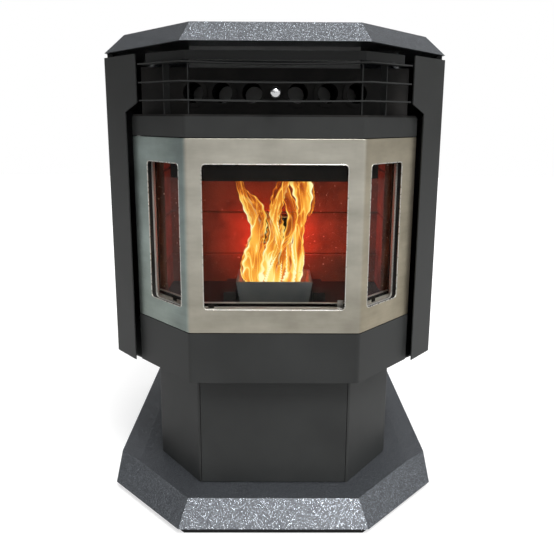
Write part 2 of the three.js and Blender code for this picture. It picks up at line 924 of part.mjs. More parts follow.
// ---- firebox --------------------------------------------------------------------------------
const fireboxLine = offsetLine(doorLine, doorDepth);
const fireboxHalf = fireboxLine[3][0];
const deckLow = surroundTop;
const brickBack = fireBack - fireboxWall - fitGap;
const brickFront = brickBack - brickThickness;
const brickLow = fireFloor + fireboxWall + fitGap;
const rodHeight = surroundTop + scraperRodHeight;
const tubeLevel = surroundTop + tubeHeight;

// The chute runs from the auger's upper end down through the firebox's back.
const augerDirection = new THREE.Vector3(0, -Math.cos(augerAngle), Math.sin(augerAngle));
const augerStart = new THREE.Vector3(0, backFrom(augerLowSetback), bodyBottom + augerLowHeight);
const augerEnd = augerStart.clone().addScaledVector(augerDirection, augerTubeLength);

function chuteOutline() {
  const [ay, az] = [augerDirection.y, augerDirection.z];
  const reach = augerTubeRadius + chuteMargin;
  const wall = augerEnd.clone().addScaledVector(augerDirection, -chuteOverlap);
  const low = [wall.y - reach * az, wall.z + reach * ay];
  const high = [wall.y + reach * az, wall.z - reach * ay];
  const crown = [high[0] + reach * ay, high[1] + reach * az];
  const mouth = brickFront - chuteReach;
  return [
    [mouth, low[1] - chuteFall],
    low,
    high,
    crown,
    [mouth, low[1] - chuteFall + chuteMouth],
  ];
}

const lineAt = ([y0, z0], [y1, z1], y) => z0 + ((z1 - z0) * (y - y0)) / (y1 - y0);

// The opening that the chute needs through a wall between two depths.
function chuteHole(front, back) {
  const [mouthLow, low, , crown, mouthHigh] = chuteOutline();
  const outline = [
    [front, lineAt(mouthLow, low, front) - 2 * fitGap],
    [back, lineAt(mouthLow, low, back) - 2 * fitGap],
    [back, lineAt(mouthHigh, crown, back) + 2 * fitGap],
    [front, lineAt(mouthHigh, crown, front) + 2 * fitGap],
  ];
  return across(outline, -chuteHalf - 2 * fitGap, chuteHalf + 2 * fitGap);
}

const igniterHole = (front, back) =>
  rod(
    new THREE.Vector3(0, front, brickLow + igniterHeight),
    axisY,
    igniterRadius + fitGap,
    back - front,
    16,
  );

const potFront = backFrom(potSetback);
const potBack = potFront + potDepth;
const potTop = brickLow + potRise;

// The latch turns in the frame's free edge; its arm swings down behind the keeper.
const rightFace = bayFace('right');
const latchU = new THREE.Vector3().setFromMatrixColumn(rightFace, 0);
const latchIn = new THREE.Vector3().setFromMatrixColumn(rightFace, 2).negate();
const latchBasis = basisOf(latchIn, axisZ, latchU).setPosition(...doorLine[2], 0);
const latchHeight = doorBottom + doorHeight / 2;
const onLatch = (outline, near, far) => extruded(outline, far - near, latchBasis, near);

function turned(outline, angle) {
  const [c, s] = [Math.cos(angle), Math.sin(angle)];
  return outline.map(([d, z]) => [latchDepth + d * c - z * s, latchHeight + d * s + z * c]);
}

// Bracket bolted to the firebox's side; the latch's hook catches behind its plate.
function latchKeeper() {
  const low = latchHeight - keeperDrop - keeperHeight;
  const high = latchHeight - keeperDrop;
  const near = latchDepth + keeperNear;
  const end = bayFacetLength + keeperLength;
  const plate = onLatch(rectangle(near, latchDepth + keeperFar, low, high), bayFacetLength + 2 * fitGap, end);
  const web = onLatch(rectangle(near, latchDepth + keeperReach, low, high), end - keeperWeb, end);
  const wall = fireboxHalf + fitGap;
  const front = fireboxLine[3][1] + keeperWeb;
  return join(plate, web, block(wall, wall + 3 * keeperWeb, front, front + keeperReach, low, high));
}

// Steel box with a bay-shaped floor, open at the front and under the deck.
function fireboxShell() {
  const outline = [...fireboxLine, [fireboxHalf, fireBack], [-fireboxHalf, fireBack]];
  const box = upright(outline, fireFloor, deckLow - fitGap);
  const inner = fireboxHalf - fireboxWall;
  const hollow = block(
    -inner,
    inner,
    backFrom(0),
    fireBack - fireboxWall,
    fireFloor + fireboxWall,
    deckLow + 5,
  );
  const potOpening = block(
    -potHalf - potClearance,
    potHalf + potClearance,
    potFront - potClearance,
    potBack + potClearance,
    fireFloor - 1,
    fireFloor + fireboxWall + 1,
  );
  const wallFront = fireBack - fireboxWall - 1;
  const flange = foldedSheet(
    doorLine,
    doorDepth,
    doorDepth + fireboxWall,
    fireFloor - ropeDrop - fireboxWall,
    deckLow - fitGap,
  );
  const reach = ropeInset + ropeWidth + fitGap;
  const mouth = foldedSheet(
    bayLine(bayHalf, baySetback, bayAngle, bayFacetLength - reach),
    doorDepth - 1,
    doorDepth + fireboxWall + 1,
    fireFloor + fireboxWall,
    doorTop - reach,
  );
  return cut(
    join(cut(box, hollow), cut(flange, mouth)),
    potOpening,
    chuteHole(wallFront, fireBack + 1),
    igniterHole(wallFront, fireBack + 1),
  );
}

// Roof of the firebox and shelf under the tubes, with the flue opening into the tube box.
function exchangerDeck() {
  const front = offsetLine(softDoorLine, sheet + fitGap);
  const outline = [...front, [fireboxHalf, fireBack], [-fireboxHalf, fireBack]];
  const flue = block(
    -flueHalf,
    flueHalf,
    backFrom(exchangerSetback) + flueMargin,
    fireBack - flueMargin,
    deckLow - 1,
    deckTop + 1,
  );
  return cut(upright(outline, deckLow, deckTop), flue);
}

const tubeRods = (front, back, radius, sides) =>
  tubePlaces.map((x) => rod(new THREE.Vector3(x, front, tubeLevel), axisY, radius, back - front, sides));

const boxFront = backFrom(exchangerSetback);

// Flue box with the exchanger tubes welded through it, open to the firebox below.
function tubeBox() {
  const low = deckTop + fitGap;
  const high = low + exchangerHeight;
  const outer = block(-fireboxHalf, fireboxHalf, boxFront, fireBack, low, high);
  const hollow = block(
    -fireboxHalf + fireboxWall,
    fireboxHalf - fireboxWall,
    boxFront + fireboxWall,
    fireBack - fireboxWall,
    low - 1,
    high - fireboxWall,
  );
  const collarFront = boxFront - tubeCollarThickness;
  const end = fireBack + tubeEndProud;
  const collars = tubeRods(collarFront, boxFront, tubeCollarRadius, 20);
  const tubes = tubeRods(collarFront, end, tubeRadius, 20);
  const bores = tubeRods(collarFront - 1, end + 1, tubeBore, 20);
  const rodStart = new THREE.Vector3(0, boxFront - 1, rodHeight);
  const guide = rod(rodStart, axisY, scraperRodRadius + guideClearance, fireboxWall + 2, 16);
  return cut(join(cut(outer, hollow), ...collars, ...tubes), guide, ...bores);
}

place('firebox_shell', fireboxShell(), 'black');
place('exchanger_deck', exchangerDeck(), 'black');
place('exchanger_tubes', tubeBox(), 'black');

// Brick faces have a groove at every course, listed from the top down.
function brickOutline(front, back, low, high) {
  const grooves = [];
  for (let z = low + brickFirstCourse; z < high - brickGroove; z += brickCourse) {
    grooves.unshift([front, z + brickGroove], [front + brickGroove, z], [front, z - brickGroove]);
  }
  return [[front, low], [back, low], [back, high], [front, high], ...grooves];
}

function backBrick() {
  const half = fireboxHalf - fireboxWall - fitGap;
  const outline = brickOutline(brickFront, brickBack, brickLow, deckLow - brickTopGap);
  const brick = across(outline, -half, half);
  return cut(brick, chuteHole(brickFront - 1, brickBack + 1), igniterHole(brickFront - 1, brickBack + 1));
}

function sideBrick(side) {
  const outer = fireboxHalf - fireboxWall - fitGap;
  const inner = outer - brickThickness;
  const rear = brickFront - fitGap;
  const front = backFrom(sideBrickFrontSetback);
  const high = deckLow - sideBrickTopGap;
  const brick = block(inner, outer, front, rear, brickLow, high);
  const grooves = [];
  for (let z = brickLow + brickFirstCourse; z < high - brickGroove; z += brickCourse) {
    const groove = [
      [inner - 1, z - brickGroove - 1],
      [inner + brickGroove, z],
      [inner - 1, z + brickGroove + 1],
    ];
    grooves.push(backward(groove, front - 1, rear + 1));
  }
  const body = cut(brick, ...grooves);
  return side > 0 ? body : mirroredAcross(body);
}

place('back_brick', backBrick(), 'brick');
place('side_brick_left', sideBrick(-1), 'brick');
place('side_brick_right', sideBrick(1), 'brick');

// Bay-shaped apron hung from the deck, with a return that turns the flames back.
function lintel() {
  const line = offsetLine(
    bayLine(bayHalf, baySetback, bayAngle, lintelFacetLength),
    lintelSetback - baySetback,
  );
  const low = deckLow - fitGap - lintelDrop;
  const apron = foldedSheet(line, 0, fireboxWall, low, deckLow - fitGap);
  const shelf = foldedSheet(line, 0, lintelReturn, low, low + fireboxWall);
  return join(apron, shelf);
}

function sillLip() {
  const line = offsetLine(
    bayLine(bayHalf, baySetback, bayAngle, sillFacetLength),
    doorDepth + fitGap,
  );
  const lip = foldedSheet(line, 0, fireboxWall, brickLow, brickLow + sillHeight);
  const foot = foldedSheet(line, 0, sillReturn, brickLow, brickLow + fireboxWall);
  return join(lip, foot);
}

place('lintel', lintel(), 'black');
place('sill_lip', sillLip(), 'iron');

// Tapered cast cup with air holes, hung in its holder over the opening in the floor.
function burnPot() {
  const ring = (half, front, back, z) => [
    [-half, front, z],
    [half, front, z],
    [half, back, z],
    [-half, back, z],
  ];
  const low = potTop - potHeight;
  const outer = lofted([
    ring(potHalf - potTaper, potFront + potTaper, potBack - potTaper, low),
    ring(potHalf - fitGap, potFront, potBack, potTop),
  ]);
  const inset = potTaper + potWall;
  const inner = lofted([
    ring(potHalf - inset, potFront + inset, potBack - inset, low + potWall),
    ring(potHalf - potWall, potFront + potWall, potBack - potWall, potTop + 1),
  ]);
  const holes = [];
  for (let i = -2; i <= 2; i += 1) {
    for (let k = 0; k < 3; k += 1) {
      const holeY = (potFront + potBack) / 2 + (k - 1) * airHoleRowPitch;
      const start = new THREE.Vector3(i * airHolePitch, holeY, low - 1);
      holes.push(rod(start, axisZ, airHoleRadius, potWall + 2, 6));
    }
  }
  return cut(outer, inner, ...holes);
}

function burnPotHolder() {
  const outer = block(
    -potHalf - potHolderLug,
    potHalf + potHolderLug,
    potFront + potHolderInset,
    potBack + potHolderWall + 2,
    brickLow,
    brickLow + potHolderHeight,
  );
  const hole = block(
    -potHalf - fitGap,
    potHalf + fitGap,
    potFront - 20,
    potBack + fitGap,
    brickLow - 1,
    brickLow + potHolderHeight + 1,
  );
  const lightway = rod(
    new THREE.Vector3(0, potBack - 5, brickLow + igniterHeight),
    axisY,
    igniterRadius + fitGap,
    30,
    16,
  );
  return cut(outer, hole, lightway);
}

function igniter() {
  const start = new THREE.Vector3(0, potBack + 1, brickLow + igniterHeight);
  const body = rod(start, axisY, igniterRadius, igniterLength, 16);
  const cap = rod(
    start.clone().add(new THREE.Vector3(0, igniterLength - 2, 0)),
    axisY,
    igniterCapRadius,
    igniterCapLength,
    16,
  );
  return join(body, cap);
}

place('burn_pot', burnPot(), 'iron');
place('burn_pot_holder', burnPotHolder(), 'black');
place('igniter', igniter(), 'steel');

// ---- tube scraper ---------------------------------------------------------------------------
const scraperBack = fireBack - fireboxWall - scraperEndGap;

// Plate that slides along the tubes, welded to the end of its pull rod.
function tubeScraper() {
  const front = scraperBack - scraperPlateThickness;
  const margin = tubeRadius + scraperPlateMargin;
  const half = tubePlaces[tubePlaces.length - 1] + margin;
  const plate = block(-half, half, front, scraperBack, tubeLevel - margin, tubeLevel + margin);
  const holes = tubeRods(front - 1, scraperBack + 1, tubeRadius + scraperClearance, 20);
  const start = new THREE.Vector3(0, backFrom(knobSetback) + knobLength - knobSocket, rodHeight);
  const pull = rod(start, axisY, scraperRodRadius, front + 1 - start.y, 16);
  return join(cut(plate, ...holes), pull);
}

// Turned ball knob, bored for the end of its rod.
function scraperKnob() {
  const profile = [[0, 0]];
  const ball = knobRadius;
  for (let i = 1; i <= 8; i += 1) {
    const angle = (i / 9) * Math.PI * 0.86;
    profile.push([ball * Math.sin(angle), ball * (1 - Math.cos(angle))]);
  }
  const neck = scraperRodRadius + knobSleeve;
  profile.push([neck, knobLength - knobNeck], [neck, knobLength]);
  profile.push([scraperRodRadius + fitGap, knobLength]);
  const socketEnd = knobLength - knobSocket - fitGap;
  profile.push([scraperRodRadius + fitGap, socketEnd], [0, socketEnd]);
  return revolved(profile, new THREE.Vector3(0, backFrom(knobSetback), rodHeight), axisY, 20);
}

place('tube_scraper', tubeScraper(), 'steel');
place('scraper_knob', scraperKnob(), 'chrome');

// ---- fire door ------------------------------------------------------------------------------
const sides = ['left', 'centre', 'right'];
const rebateDepth = faceThickness + fitGap + frameThickness / 2;
const gasketReach = frameReveal + gasketWidth;

function doorFace() {
  const skin = foldedSheet(softDoorLine, 0, faceThickness, doorBottom, doorTop);
  return cut(skin, ...sides.map((side) => windowPrism(side, 0, -5, faceThickness + 5)));
}

const sorted = (a, b) => [Math.min(a, b), Math.max(a, b)];

const hingeStart = new THREE.Vector2(...doorLine[0]);
const hingeAlong = new THREE.Vector2(...doorLine[1]).sub(hingeStart).normalize();
const hingeInward = new THREE.Vector2(-hingeAlong.y, hingeAlong.x);
const hingePlace = hingeStart
  .clone()
  .addScaledVector(hingeAlong, hingeInset)
  .addScaledVector(hingeInward, hingeDepth);

const hingeRod = (z, radius, length) =>
  rod(new THREE.Vector3(hingePlace.x, hingePlace.y, z), axisZ, radius, length, 20);

// Cast frame behind the face, rebated for gaskets and glass, bored at both ends for the hinge pins.
function doorFrame() {
  const near = faceThickness + fitGap;
  const front = offsetLine(softDoorLine, near);
  const rear = offsetLine(doorLine, near + frameThickness);
  const low = doorBottom + frameInset;
  const high = doorTop - frameInset;
  const body = upright([...front, ...rear.reverse()], low, high);
  const openings = sides.map((side) => windowPrism(side, frameReveal, -5, 60));
  const rebates = sides.map((side) => windowPrism(side, gasketReach, rebateDepth, 60));
  const bore = (z) => hingeRod(z, hingePinRadius + fitGap, hingePinLength + 1);
  const latchBore = extruded(
    circle(latchDepth, latchHeight, latchRadius + fitGap, 16),
    latchLength + 2,
    latchBasis,
    bayFacetLength - latchLength,
  );
  const bores = [bore(low - 1), bore(high - hingePinLength)];
  return cut(body, ...openings, ...rebates, ...bores, latchBore);
}

function circle(x, y, radius, steps) {
  return Array.from({ length: steps }, (_, i) => {
    const angle = (i / steps) * 2 * Math.PI;
    return [x + radius * Math.cos(angle), y + radius * Math.sin(angle)];
  });
}

function windowGasket(side) {
  const near = rebateDepth + fitGap;
  const outer = windowPrism(side, gasketReach - fitGap, near, near + gasketThickness);
  return cut(outer, windowPrism(side, frameReveal, near - 1, near + gasketThickness + 1));
}

function doorGlass(side) {
  const near = rebateDepth + gasketThickness + 2 * fitGap;
  return windowPrism(side, gasketReach - fitGap, near, near + glassThickness);
}

// Rope seal round the back of the door.
function doorRope() {
  const near = faceThickness + frameThickness + 2 * fitGap;
  const far = doorDepth - fitGap;
  const outerLine = bayLine(bayHalf, baySetback, bayAngle, bayFacetLength - ropeInset);
  const innerLine = bayLine(bayHalf, baySetback, bayAngle, bayFacetLength - ropeInset - ropeWidth);
  const low = fireFloor - ropeDrop;
  const high = doorTop - ropeInset;
  const outer = foldedSheet(outerLine, near, far, low, high);
  const inner = foldedSheet(innerLine, near - 1, far + 1, low + ropeWidth, high - ropeWidth);
  return cut(outer, inner);
}

// Shaft through the frame's edge with a hooked lever, turned up in its open place.
function doorLatch() {
  const arm = [
    [-latchArmWidth / 2, -latchArmWidth / 2],
    [latchReach - latchArmWidth, -latchArmWidth / 2],
    [latchReach - latchArmWidth, -latchHook],
    [latchReach, -latchHook],
    [latchReach, latchArmWidth / 2],
    [-latchArmWidth / 2, latchArmWidth / 2],
  ];
  const shaft = onLatch(
    circle(latchDepth, latchHeight, latchRadius, 16),
    bayFacetLength - latchLength + 1,
    bayFacetLength + latchEnd,
  );
  const near = bayFacetLength + leverNear;
  const lever = onLatch(turned(arm, latchOpenAngle), near, near + leverThickness);
  return join(shaft, lever);
}

// Bracket behind the skirt or the surround, with the pin that the door turns on.
function doorHinge(end) {
  const edge = end < 0 ? doorBottom - doorGap : doorTop + doorGap;
  const frameEdge = end < 0 ? doorBottom + frameInset : doorTop - frameInset;
  const near = faceThickness + fitGap;
  const piece = (height, far) => {
    const [low, high] = sorted(edge, edge + end * height);
    const outline = rectangle(hingeInset - hingeEar / 2, hingeInset + hingeEar / 2, low, high);
    return onFace('left', outline, near, far);
  };
  const ear = piece(hingePlate, hingeDepth + hingeEar / 2);
  const leaf = piece(hingeLeafHeight, near + hingePlate / 2);
  const upTo = (radius, stop) => {
    const [low, high] = sorted(edge + end, stop);
    return hingeRod(low, radius, high - low);
  };
  const collar = upTo(hingeCollarRadius, frameEdge + end * fitGap);
  const pin = upTo(hingePinRadius, frameEdge - end * (hingePinLength - 1));
  return join(ear, leaf, collar, pin);
}

place('door_face', doorFace(), 'stainless');
place('door_frame', doorFrame(), 'black');
for (const side of sides) {
  place(`window_gasket_${side}`, windowGasket(side), 'rope');
  place(`door_glass_${side}`, doorGlass(side), 'glass');
}
place('door_rope', doorRope(), 'rope');
place('door_latch', doorLatch(), 'steel');
place('latch_keeper', latchKeeper(), 'steel');
place('door_hinge_lower', doorHinge(-1), 'steel');
place('door_hinge_upper', doorHinge(1), 'steel');

// ---- hopper, auger and chute ----------------------------------------------------------------
function hopperSections(inset, extra) {
  const ring = (half, front, back, z) => [
    [-half + inset, backFrom(front) + inset, z],
    [half - inset, backFrom(front) + inset, z],
    [half - inset, backFrom(back) - inset, z],
    [-half + inset, backFrom(back) - inset, z],
  ];
  const low = bodyBottom + hopperOutletHeight;
  const shoulder = lidBottom - hopperStraight;
  const rim = lidTop - lidWall - fitGap;
  const outer = hopperHalf + hopperWall;
  const front = hopperFrontSetback - hopperWall;
  const back = hopperBackSetback + hopperWall;
  return [
    ring(hopperOutletHalf, hopperOutletFront, hopperOutletBack, low - extra),
    ring(outer, front, back, shoulder),
    ring(outer, front, back, rim + extra),
  ];
}

function hopper() {
  return cut(lofted(hopperSections(0, 0)), lofted(hopperSections(hopperWall, 1)));
}

// Plate with long slots that keeps hands from the auger.
function hopperGrate() {
  const half = hopperHalf - 2 * fitGap;
  const front = backFrom(hopperFrontSetback) + 2 * fitGap;
  const back = backFrom(hopperBackSetback) - 2 * fitGap;
  const plate = block(-half, half, front, back, grateLevel, grateLevel + grateThickness);
  const pitch = (2 * half - grateBar) / grateSlots;
  const slots = Array.from({ length: grateSlots }, (_, i) => {
    const left = -half + grateBar + i * pitch;
    const right = left + pitch - grateBar;
    const top = grateLevel + grateThickness;
    return block(left, right, front + grateRim, back - grateRim, grateLevel - 1, top + 1);
  });
  return cut(plate, ...slots);
}

function augerTube() {
  const spoutLow = augerStart.z + (augerStart.y - backFrom(hopperOutletBack)) + spoutSunk;
  const spoutTop = bodyBottom + hopperOutletHeight - fitGap;
  const front = backFrom(hopperOutletFront);
  const back = backFrom(hopperOutletBack);
  const half = hopperOutletHalf;
  const barrel = rod(augerStart, augerDirection, augerTubeRadius, augerTubeLength, 32);
  const spout = block(-half, half, front, back, spoutLow, spoutTop);
  const footY = augerStart.y - augerFootReach;
  const footTop = augerStart.z + augerFootReach - augerTubeRadius;
  const foot = block(
    -augerFootHalf,
    augerFootHalf,
    footY - augerFootDepth / 2,
    footY + augerFootDepth / 2,
    floorTop + fitGap,
    footTop,
  );
  const early = augerStart.clone().addScaledVector(augerDirection, -1);
  const bore = rod(early, augerDirection, augerTubeRadius - augerTubeWall, augerTubeLength + 2, 32);
  const throat = block(
    -half + augerTubeWall,
    half - augerTubeWall,
    front + augerTubeWall,
    back - augerTubeWall,
    spoutLow,
    spoutTop + 1,
  );
  return cut(join(barrel, spout, foot), bore, throat);
}

// A ribbon that climbs round the shaft at a constant pitch.
function helicalFlight(inner, outer, pitch, thickness, length, start, direction) {
  const stepsPerTurn = 12;
  const steps = Math.round(((length - thickness) / pitch) * stepsPerTurn);
  const ring = (k) => {
    const angle = (k / stepsPerTurn) * 2 * Math.PI;
    const rise = (k / stepsPerTurn) * pitch;
    return [
      [inner, rise],
      [outer, rise],
      [outer, rise + thickness],
      [inner, rise + thickness],
    ].map(([radius, y]) => [radius * Math.cos(angle), y, radius * Math.sin(angle)]);
  };
  const positions = [];
  const quad = (a, b, c, d) => positions.push(...a, ...b, ...c, ...a, ...c, ...d);
  for (let k = 0; k < steps; k += 1) {
    const here = ring(k);
    const next = ring(k + 1);
    for (let i = 0; i < 4; i += 1) {
      const j = (i + 1) % 4;
      quad(here[i], next[i], next[j], here[j]);
    }
  }
  const first = ring(0);
  const last = ring(steps);
  quad(first[0], first[1], first[2], first[3]);
  quad(last[3], last[2], last[1], last[0]);
  const geometry = new THREE.BufferGeometry();
  geometry.setAttribute('position', new THREE.Float32BufferAttribute(positions, 3));
  geometry.applyQuaternion(new THREE.Quaternion().setFromUnitVectors(axisY, direction));
  geometry.translate(start.x, start.y, start.z);
  const flight = solid(geometry);
  return flight.volume() > 0 ? flight : solid(turnedOut(geometry));
}

function turnedOut(geometry) {
  const index = Array.from({ length: geometry.attributes.position.count }, (_, i) =>
    i % 3 === 0 ? i : i + (i % 3 === 1 ? 1 : -1),
  );
  geometry.setIndex(index);
  return geometry.toNonIndexed();
}

function augerScrew() {
  const start = augerStart.clone().addScaledVector(augerDirection, augerEndPlay);
  const length = augerTubeLength - 2 * augerEndPlay;
  const shaft = rod(start, augerDirection, augerShaftRadius, length, 16);
  const flight = helicalFlight(
    augerShaftRadius - 1,
    augerRadius,
    augerPitch,
    augerFlight,
    length - 8,
    start.clone().addScaledVector(augerDirection, 3),
    augerDirection,
  );
  return join(shaft, flight);
}

function augerMotor() {
  const down = augerDirection.clone().negate();
  const start = augerStart.clone().addScaledVector(down, fitGap);
  const flange = rod(start, down, augerTubeRadius, augerMotorFlange, 24);
  const body = rod(start, down, augerMotorRadius, augerMotorLength, 24);
  return join(flange, body);
}

function dropChute() {
  const outline = chuteOutline();
  const closed = [...outline, outline[0], outline[1]];
  const inner = offsetLine(closed, chuteWall).slice(1, outline.length + 1);
  const [[mouthY, mouthLow]] = outline;
  const mouthHigh = outline[4][1];
  const shell = across(outline, -chuteHalf, chuteHalf);
  const hollow = across(inner, -chuteHalf + chuteWall, chuteHalf - chuteWall);
  const mouth = across(
    rectangle(mouthY - 1, mouthY + chuteWall + 1, mouthLow + 2 * chuteWall, mouthHigh - chuteWall),
    -chuteHalf + chuteWall,
    chuteHalf - chuteWall,
  );
  const entry = rod(
    augerEnd.clone().addScaledVector(augerDirection, -chuteOverlap - 4),
    augerDirection,
    augerTubeRadius + fitGap,
    20,
    32,
  );
  return cut(shell, hollow, mouth, entry);
}

place('hopper', hopper(), 'steel');
place('hopper_grate', hopperGrate(), 'steel');
place('auger_tube', augerTube(), 'steel');
place('auger_screw', augerScrew(), 'steel');
place('auger_motor', augerMotor(), 'steel');
place('drop_chute', dropChute(), 'steel');

// ---- blowers --------------------------------------------------------------------------------
// Volute outline: the radius grows clockwise from the top until it meets the outlet.
function voluteOutline(middleY, middleZ, radius, upward, inset) {
  const steps = 30;
  return Array.from({ length: steps + 1 }, (_, i) => {
    const angle = Math.PI / 2 - (i / steps) * 2 * Math.PI;
    const r = radius * (1 + ((voluteGrowth - 1) * i) / steps) - inset;
    const [p, q] = [r * Math.cos(angle), r * Math.sin(angle)];
    return upward ? [middleY - q, middleZ + p] : [middleY + p, middleZ + q];
  }).reverse();
}

function outletOutline(middleY, middleZ, radius, duct, reach, upward, inset, extra) {
  const high = radius * voluteGrowth - inset;
  const low = radius * voluteGrowth - duct + inset;
  const corners = rectangle(0, reach + extra, low, high);
  return corners.map(([p, q]) => (upward ? [middleY - q, middleZ + p] : [middleY + p, middleZ + q]));
}

function blowerHousing(middle, radius, width, duct, reach, upward, inletSide) {
  const [x, y, z] = middle;
  const foot = blowerFootHalf;
  const left = x - width / 2;
  const right = x + width / 2;
  const outer = join(
    across(voluteOutline(y, z, radius, upward, 0), left, right),
    across(outletOutline(y, z, radius, duct, reach, upward, 0, 0), left, right),
    block(x - foot, x + foot, y - foot, y + foot, floorTop + fitGap, z),
  );
  const hollow = join(
    across(voluteOutline(y, z, radius, upward, blowerWall), left + blowerWall, right - blowerWall),
    across(
      outletOutline(y, z, radius, duct, reach, upward, blowerWall, 1),
      left + blowerWall,
      right - blowerWall,
    ),
  );
  const start = inletSide < 0 ? left - 1 : right - blowerWall - 1;
  const inlet = rod(new THREE.Vector3(start, y, z), axisX, radius * 0.6, blowerWall + 2, 24);
  const shaftStart = inletSide < 0 ? right - blowerWall - 1 : left - 1;
  const shaftHole = rod(new THREE.Vector3(shaftStart, y, z), axisX, shaftRadius + 1, blowerWall + 2, 16);
  return cut(outer, hollow, inlet, shaftHole);
}

// Wheel with blades between its disc and its rim, on a shaft that ends in the motor.
function bladedWheel(middle, radius, width, inletSide) {
  const [x, y, z] = middle;
  const discX = inletSide < 0 ? x + width / 2 - wheelDisc : x - width / 2;
  const at = (px) => new THREE.Vector3(px, y, z);
  const disc = rod(at(discX), axisX, radius, wheelDisc, 24);
  const rimX = inletSide < 0 ? x - width / 2 : x + width / 2 - wheelDisc;
  const rim = pipe(at(rimX), axisX, radius, radius - wheelRim, wheelDisc, 24);
  const blades = Array.from({ length: wheelBlades }, (_, i) => {
    const angle = (i / wheelBlades) * 2 * Math.PI;
    const radial = (r, a) => [y + r * Math.cos(angle + a), z + r * Math.sin(angle + a)];
    const outline = [
      radial(radius - 1 - bladeDepth, 0),
      radial(radius - 1, bladeLean),
      radial(radius - 1, bladeLean + bladeTip),
      radial(radius - 1 - bladeDepth, bladeRoot),
    ];
    return across(outline, x - width / 2 + 1, x + width / 2 - 1);
  });
  const shaftX = inletSide < 0 ? x : x - width / 2 - shaftReach;
  const shaft = rod(at(shaftX), axisX, shaftRadius, width / 2 + shaftReach, 16);
  const hubX = inletSide < 0 ? discX + wheelDisc - hubLength : discX;
  const hub = rod(at(hubX), axisX, hubRadius, hubLength, 16);
  return join(disc, rim, shaft, hub, ...blades);
}

function blowerMotor(middle, width, outSide, radius) {
  const [x, y, z] = middle;
  const start = outSide > 0 ? x + width / 2 + fitGap : x - width / 2 - fitGap;
  const direction = axisX.clone().multiplyScalar(outSide);
  const body = rod(new THREE.Vector3(start, y, z), direction, radius, motorLength, 24);
  const face = new THREE.Vector3(start, y, z);
  const flange = rod(face, direction, radius + motorFlange, motorFlangeThickness, 24);
  const pocket = rod(
    new THREE.Vector3(start, y, z).addScaledVector(direction, -1),
    direction,
    shaftRadius + fitGap,
    shaftReach + 4,
    16,
  );
  return cut(join(body, flange), pocket);
}

const combustionPlace = [combustionX, backFrom(combustionSetback), floorTop + combustionHeight];
const exhaustDuct = 2 * (exhaustRadius + blowerWall);
place(
  'combustion_housing',
  blowerHousing(
    combustionPlace,
    combustionRadius,
    combustionWidth,
    exhaustDuct,
    combustionReach,
    false,
    -1,
  ),
  'steel',
);
place(
  'combustion_impeller',
  bladedWheel(
    combustionPlace,
    combustionRadius - wheelClearance,
    combustionWidth - 2 * (blowerWall + wheelSideGap),
    -1,
  ),
  'steel',
);
place('combustion_motor', blowerMotor(combustionPlace, combustionWidth, 1, combustionMotorRadius), 'steel');

// Round collar that takes the flue pipe.
function exhaustCollar() {
  const [x, y, z] = combustionPlace;
  const start = y + combustionReach + fitGap;
  const level = z + combustionRadius * voluteGrowth - exhaustDuct / 2;
  const end = backFrom(exhaustEndSetback);
  const at = (py) => new THREE.Vector3(x, py, level);
  const half = exhaustDuct / 2;
  const flange = block(x - half, x + half, start, start + collarFlange, level - half, level + half);
  const barrel = rod(at(start), axisY, exhaustRadius, end - start, 32);
  const bore = rod(at(start - 1), axisY, exhaustRadius - exhaustWall, end - start + 2, 32);
  return cut(join(flange, barrel), bore);
}

const convectionPlace = [convectionX, backFrom(convectionSetback), floorTop + convectionHeight];
place('exhaust_collar', exhaustCollar(), 'black');
place(
  'convection_housing',
  blowerHousing(
    convectionPlace,
    convectionRadius,
    convectionWidth,
    convectionDuct,
    convectionReach,
    true,
    -1,
  ),
  'black',
);
place(
  'convection_wheel',
  bladedWheel(
    convectionPlace,
    convectionRadius - wheelClearance,
    convectionWidth - 2 * (blowerWall + wheelSideGap),
    -1,
  ),
  'steel',
);
place('convection_motor', blowerMotor(convectionPlace, convectionWidth, 1, convectionMotorRadius), 'steel');

function intakePipe() {
  const start = new THREE.Vector3(intakeX, backFrom(intakeFrontSetback), floorTop + intakeHeight);
  const length = exhaustEndSetback - intakeFrontSetback;
  const tube = rod(start, axisY, intakeRadius, length, 28);
  const footFront = start.y + intakeFootInset;
  const foot = block(
    intakeX - intakeFootHalf,
    intakeX + intakeFootHalf,
    footFront,
    footFront + intakeFootDepth,
    floorTop + fitGap,
    start.z,
  );
  const early = start.clone().add(new THREE.Vector3(0, -1, 0));
  const bore = rod(early, axisY, intakeRadius - exhaustWall, length + 2, 28);
  return cut(join(tube, foot), bore);
}

place('air_intake', intakePipe(), 'black');

// ---- controls -------------------------------------------------------------------------------
// Key pad in the side panel's cut-out, with the box for its board behind the sheet.
function controlPanel() {
  const right = cabinetHalf - controlThickness - fitGap;
  const face = block(
    right - 1,
    cabinetHalf - fitGap,
    controlFront,
    controlFront + controlWidth,
    controlLow,
    controlLow + controlLength,
  );
  const box = block(
    right - controlBoxDepth,
    right,
    controlFront - controlBoxLap,
    controlFront + controlWidth + controlBoxLap,
    controlLow - controlBoxLap,
    controlLow + controlLength + controlBoxLap,
  );
  return join(face, box);
}

// Recessed three-pin inlet for the mains lead.
function powerInlet() {
  const z = floorTop + inletHeight;
  const half = inletHalf - fitGap;
  const back = bodyBack + inletProud;
  const body = block(inletX - half, inletX + half, back - inletDepth, back, z - half, z + half);
  const floor = back - socketDepth;
  const socket = block(
    inletX - socketHalfWidth,
    inletX + socketHalfWidth,
    floor,
    back + 1,
    z - socketHalfHeight,
    z + socketHalfHeight,
  );
  const pins = [-pinPitch, 0, pinPitch].map((shift, i) => {
    const low = z + ((i % 2) - 1) * pinHalfHeight;
    const x = inletX + shift;
    return block(x - 1, x + 1, floor - 1, floor + pinLength, low, low + 2 * pinHalfHeight);
  });
  return join(cut(body, socket), ...pins);
}

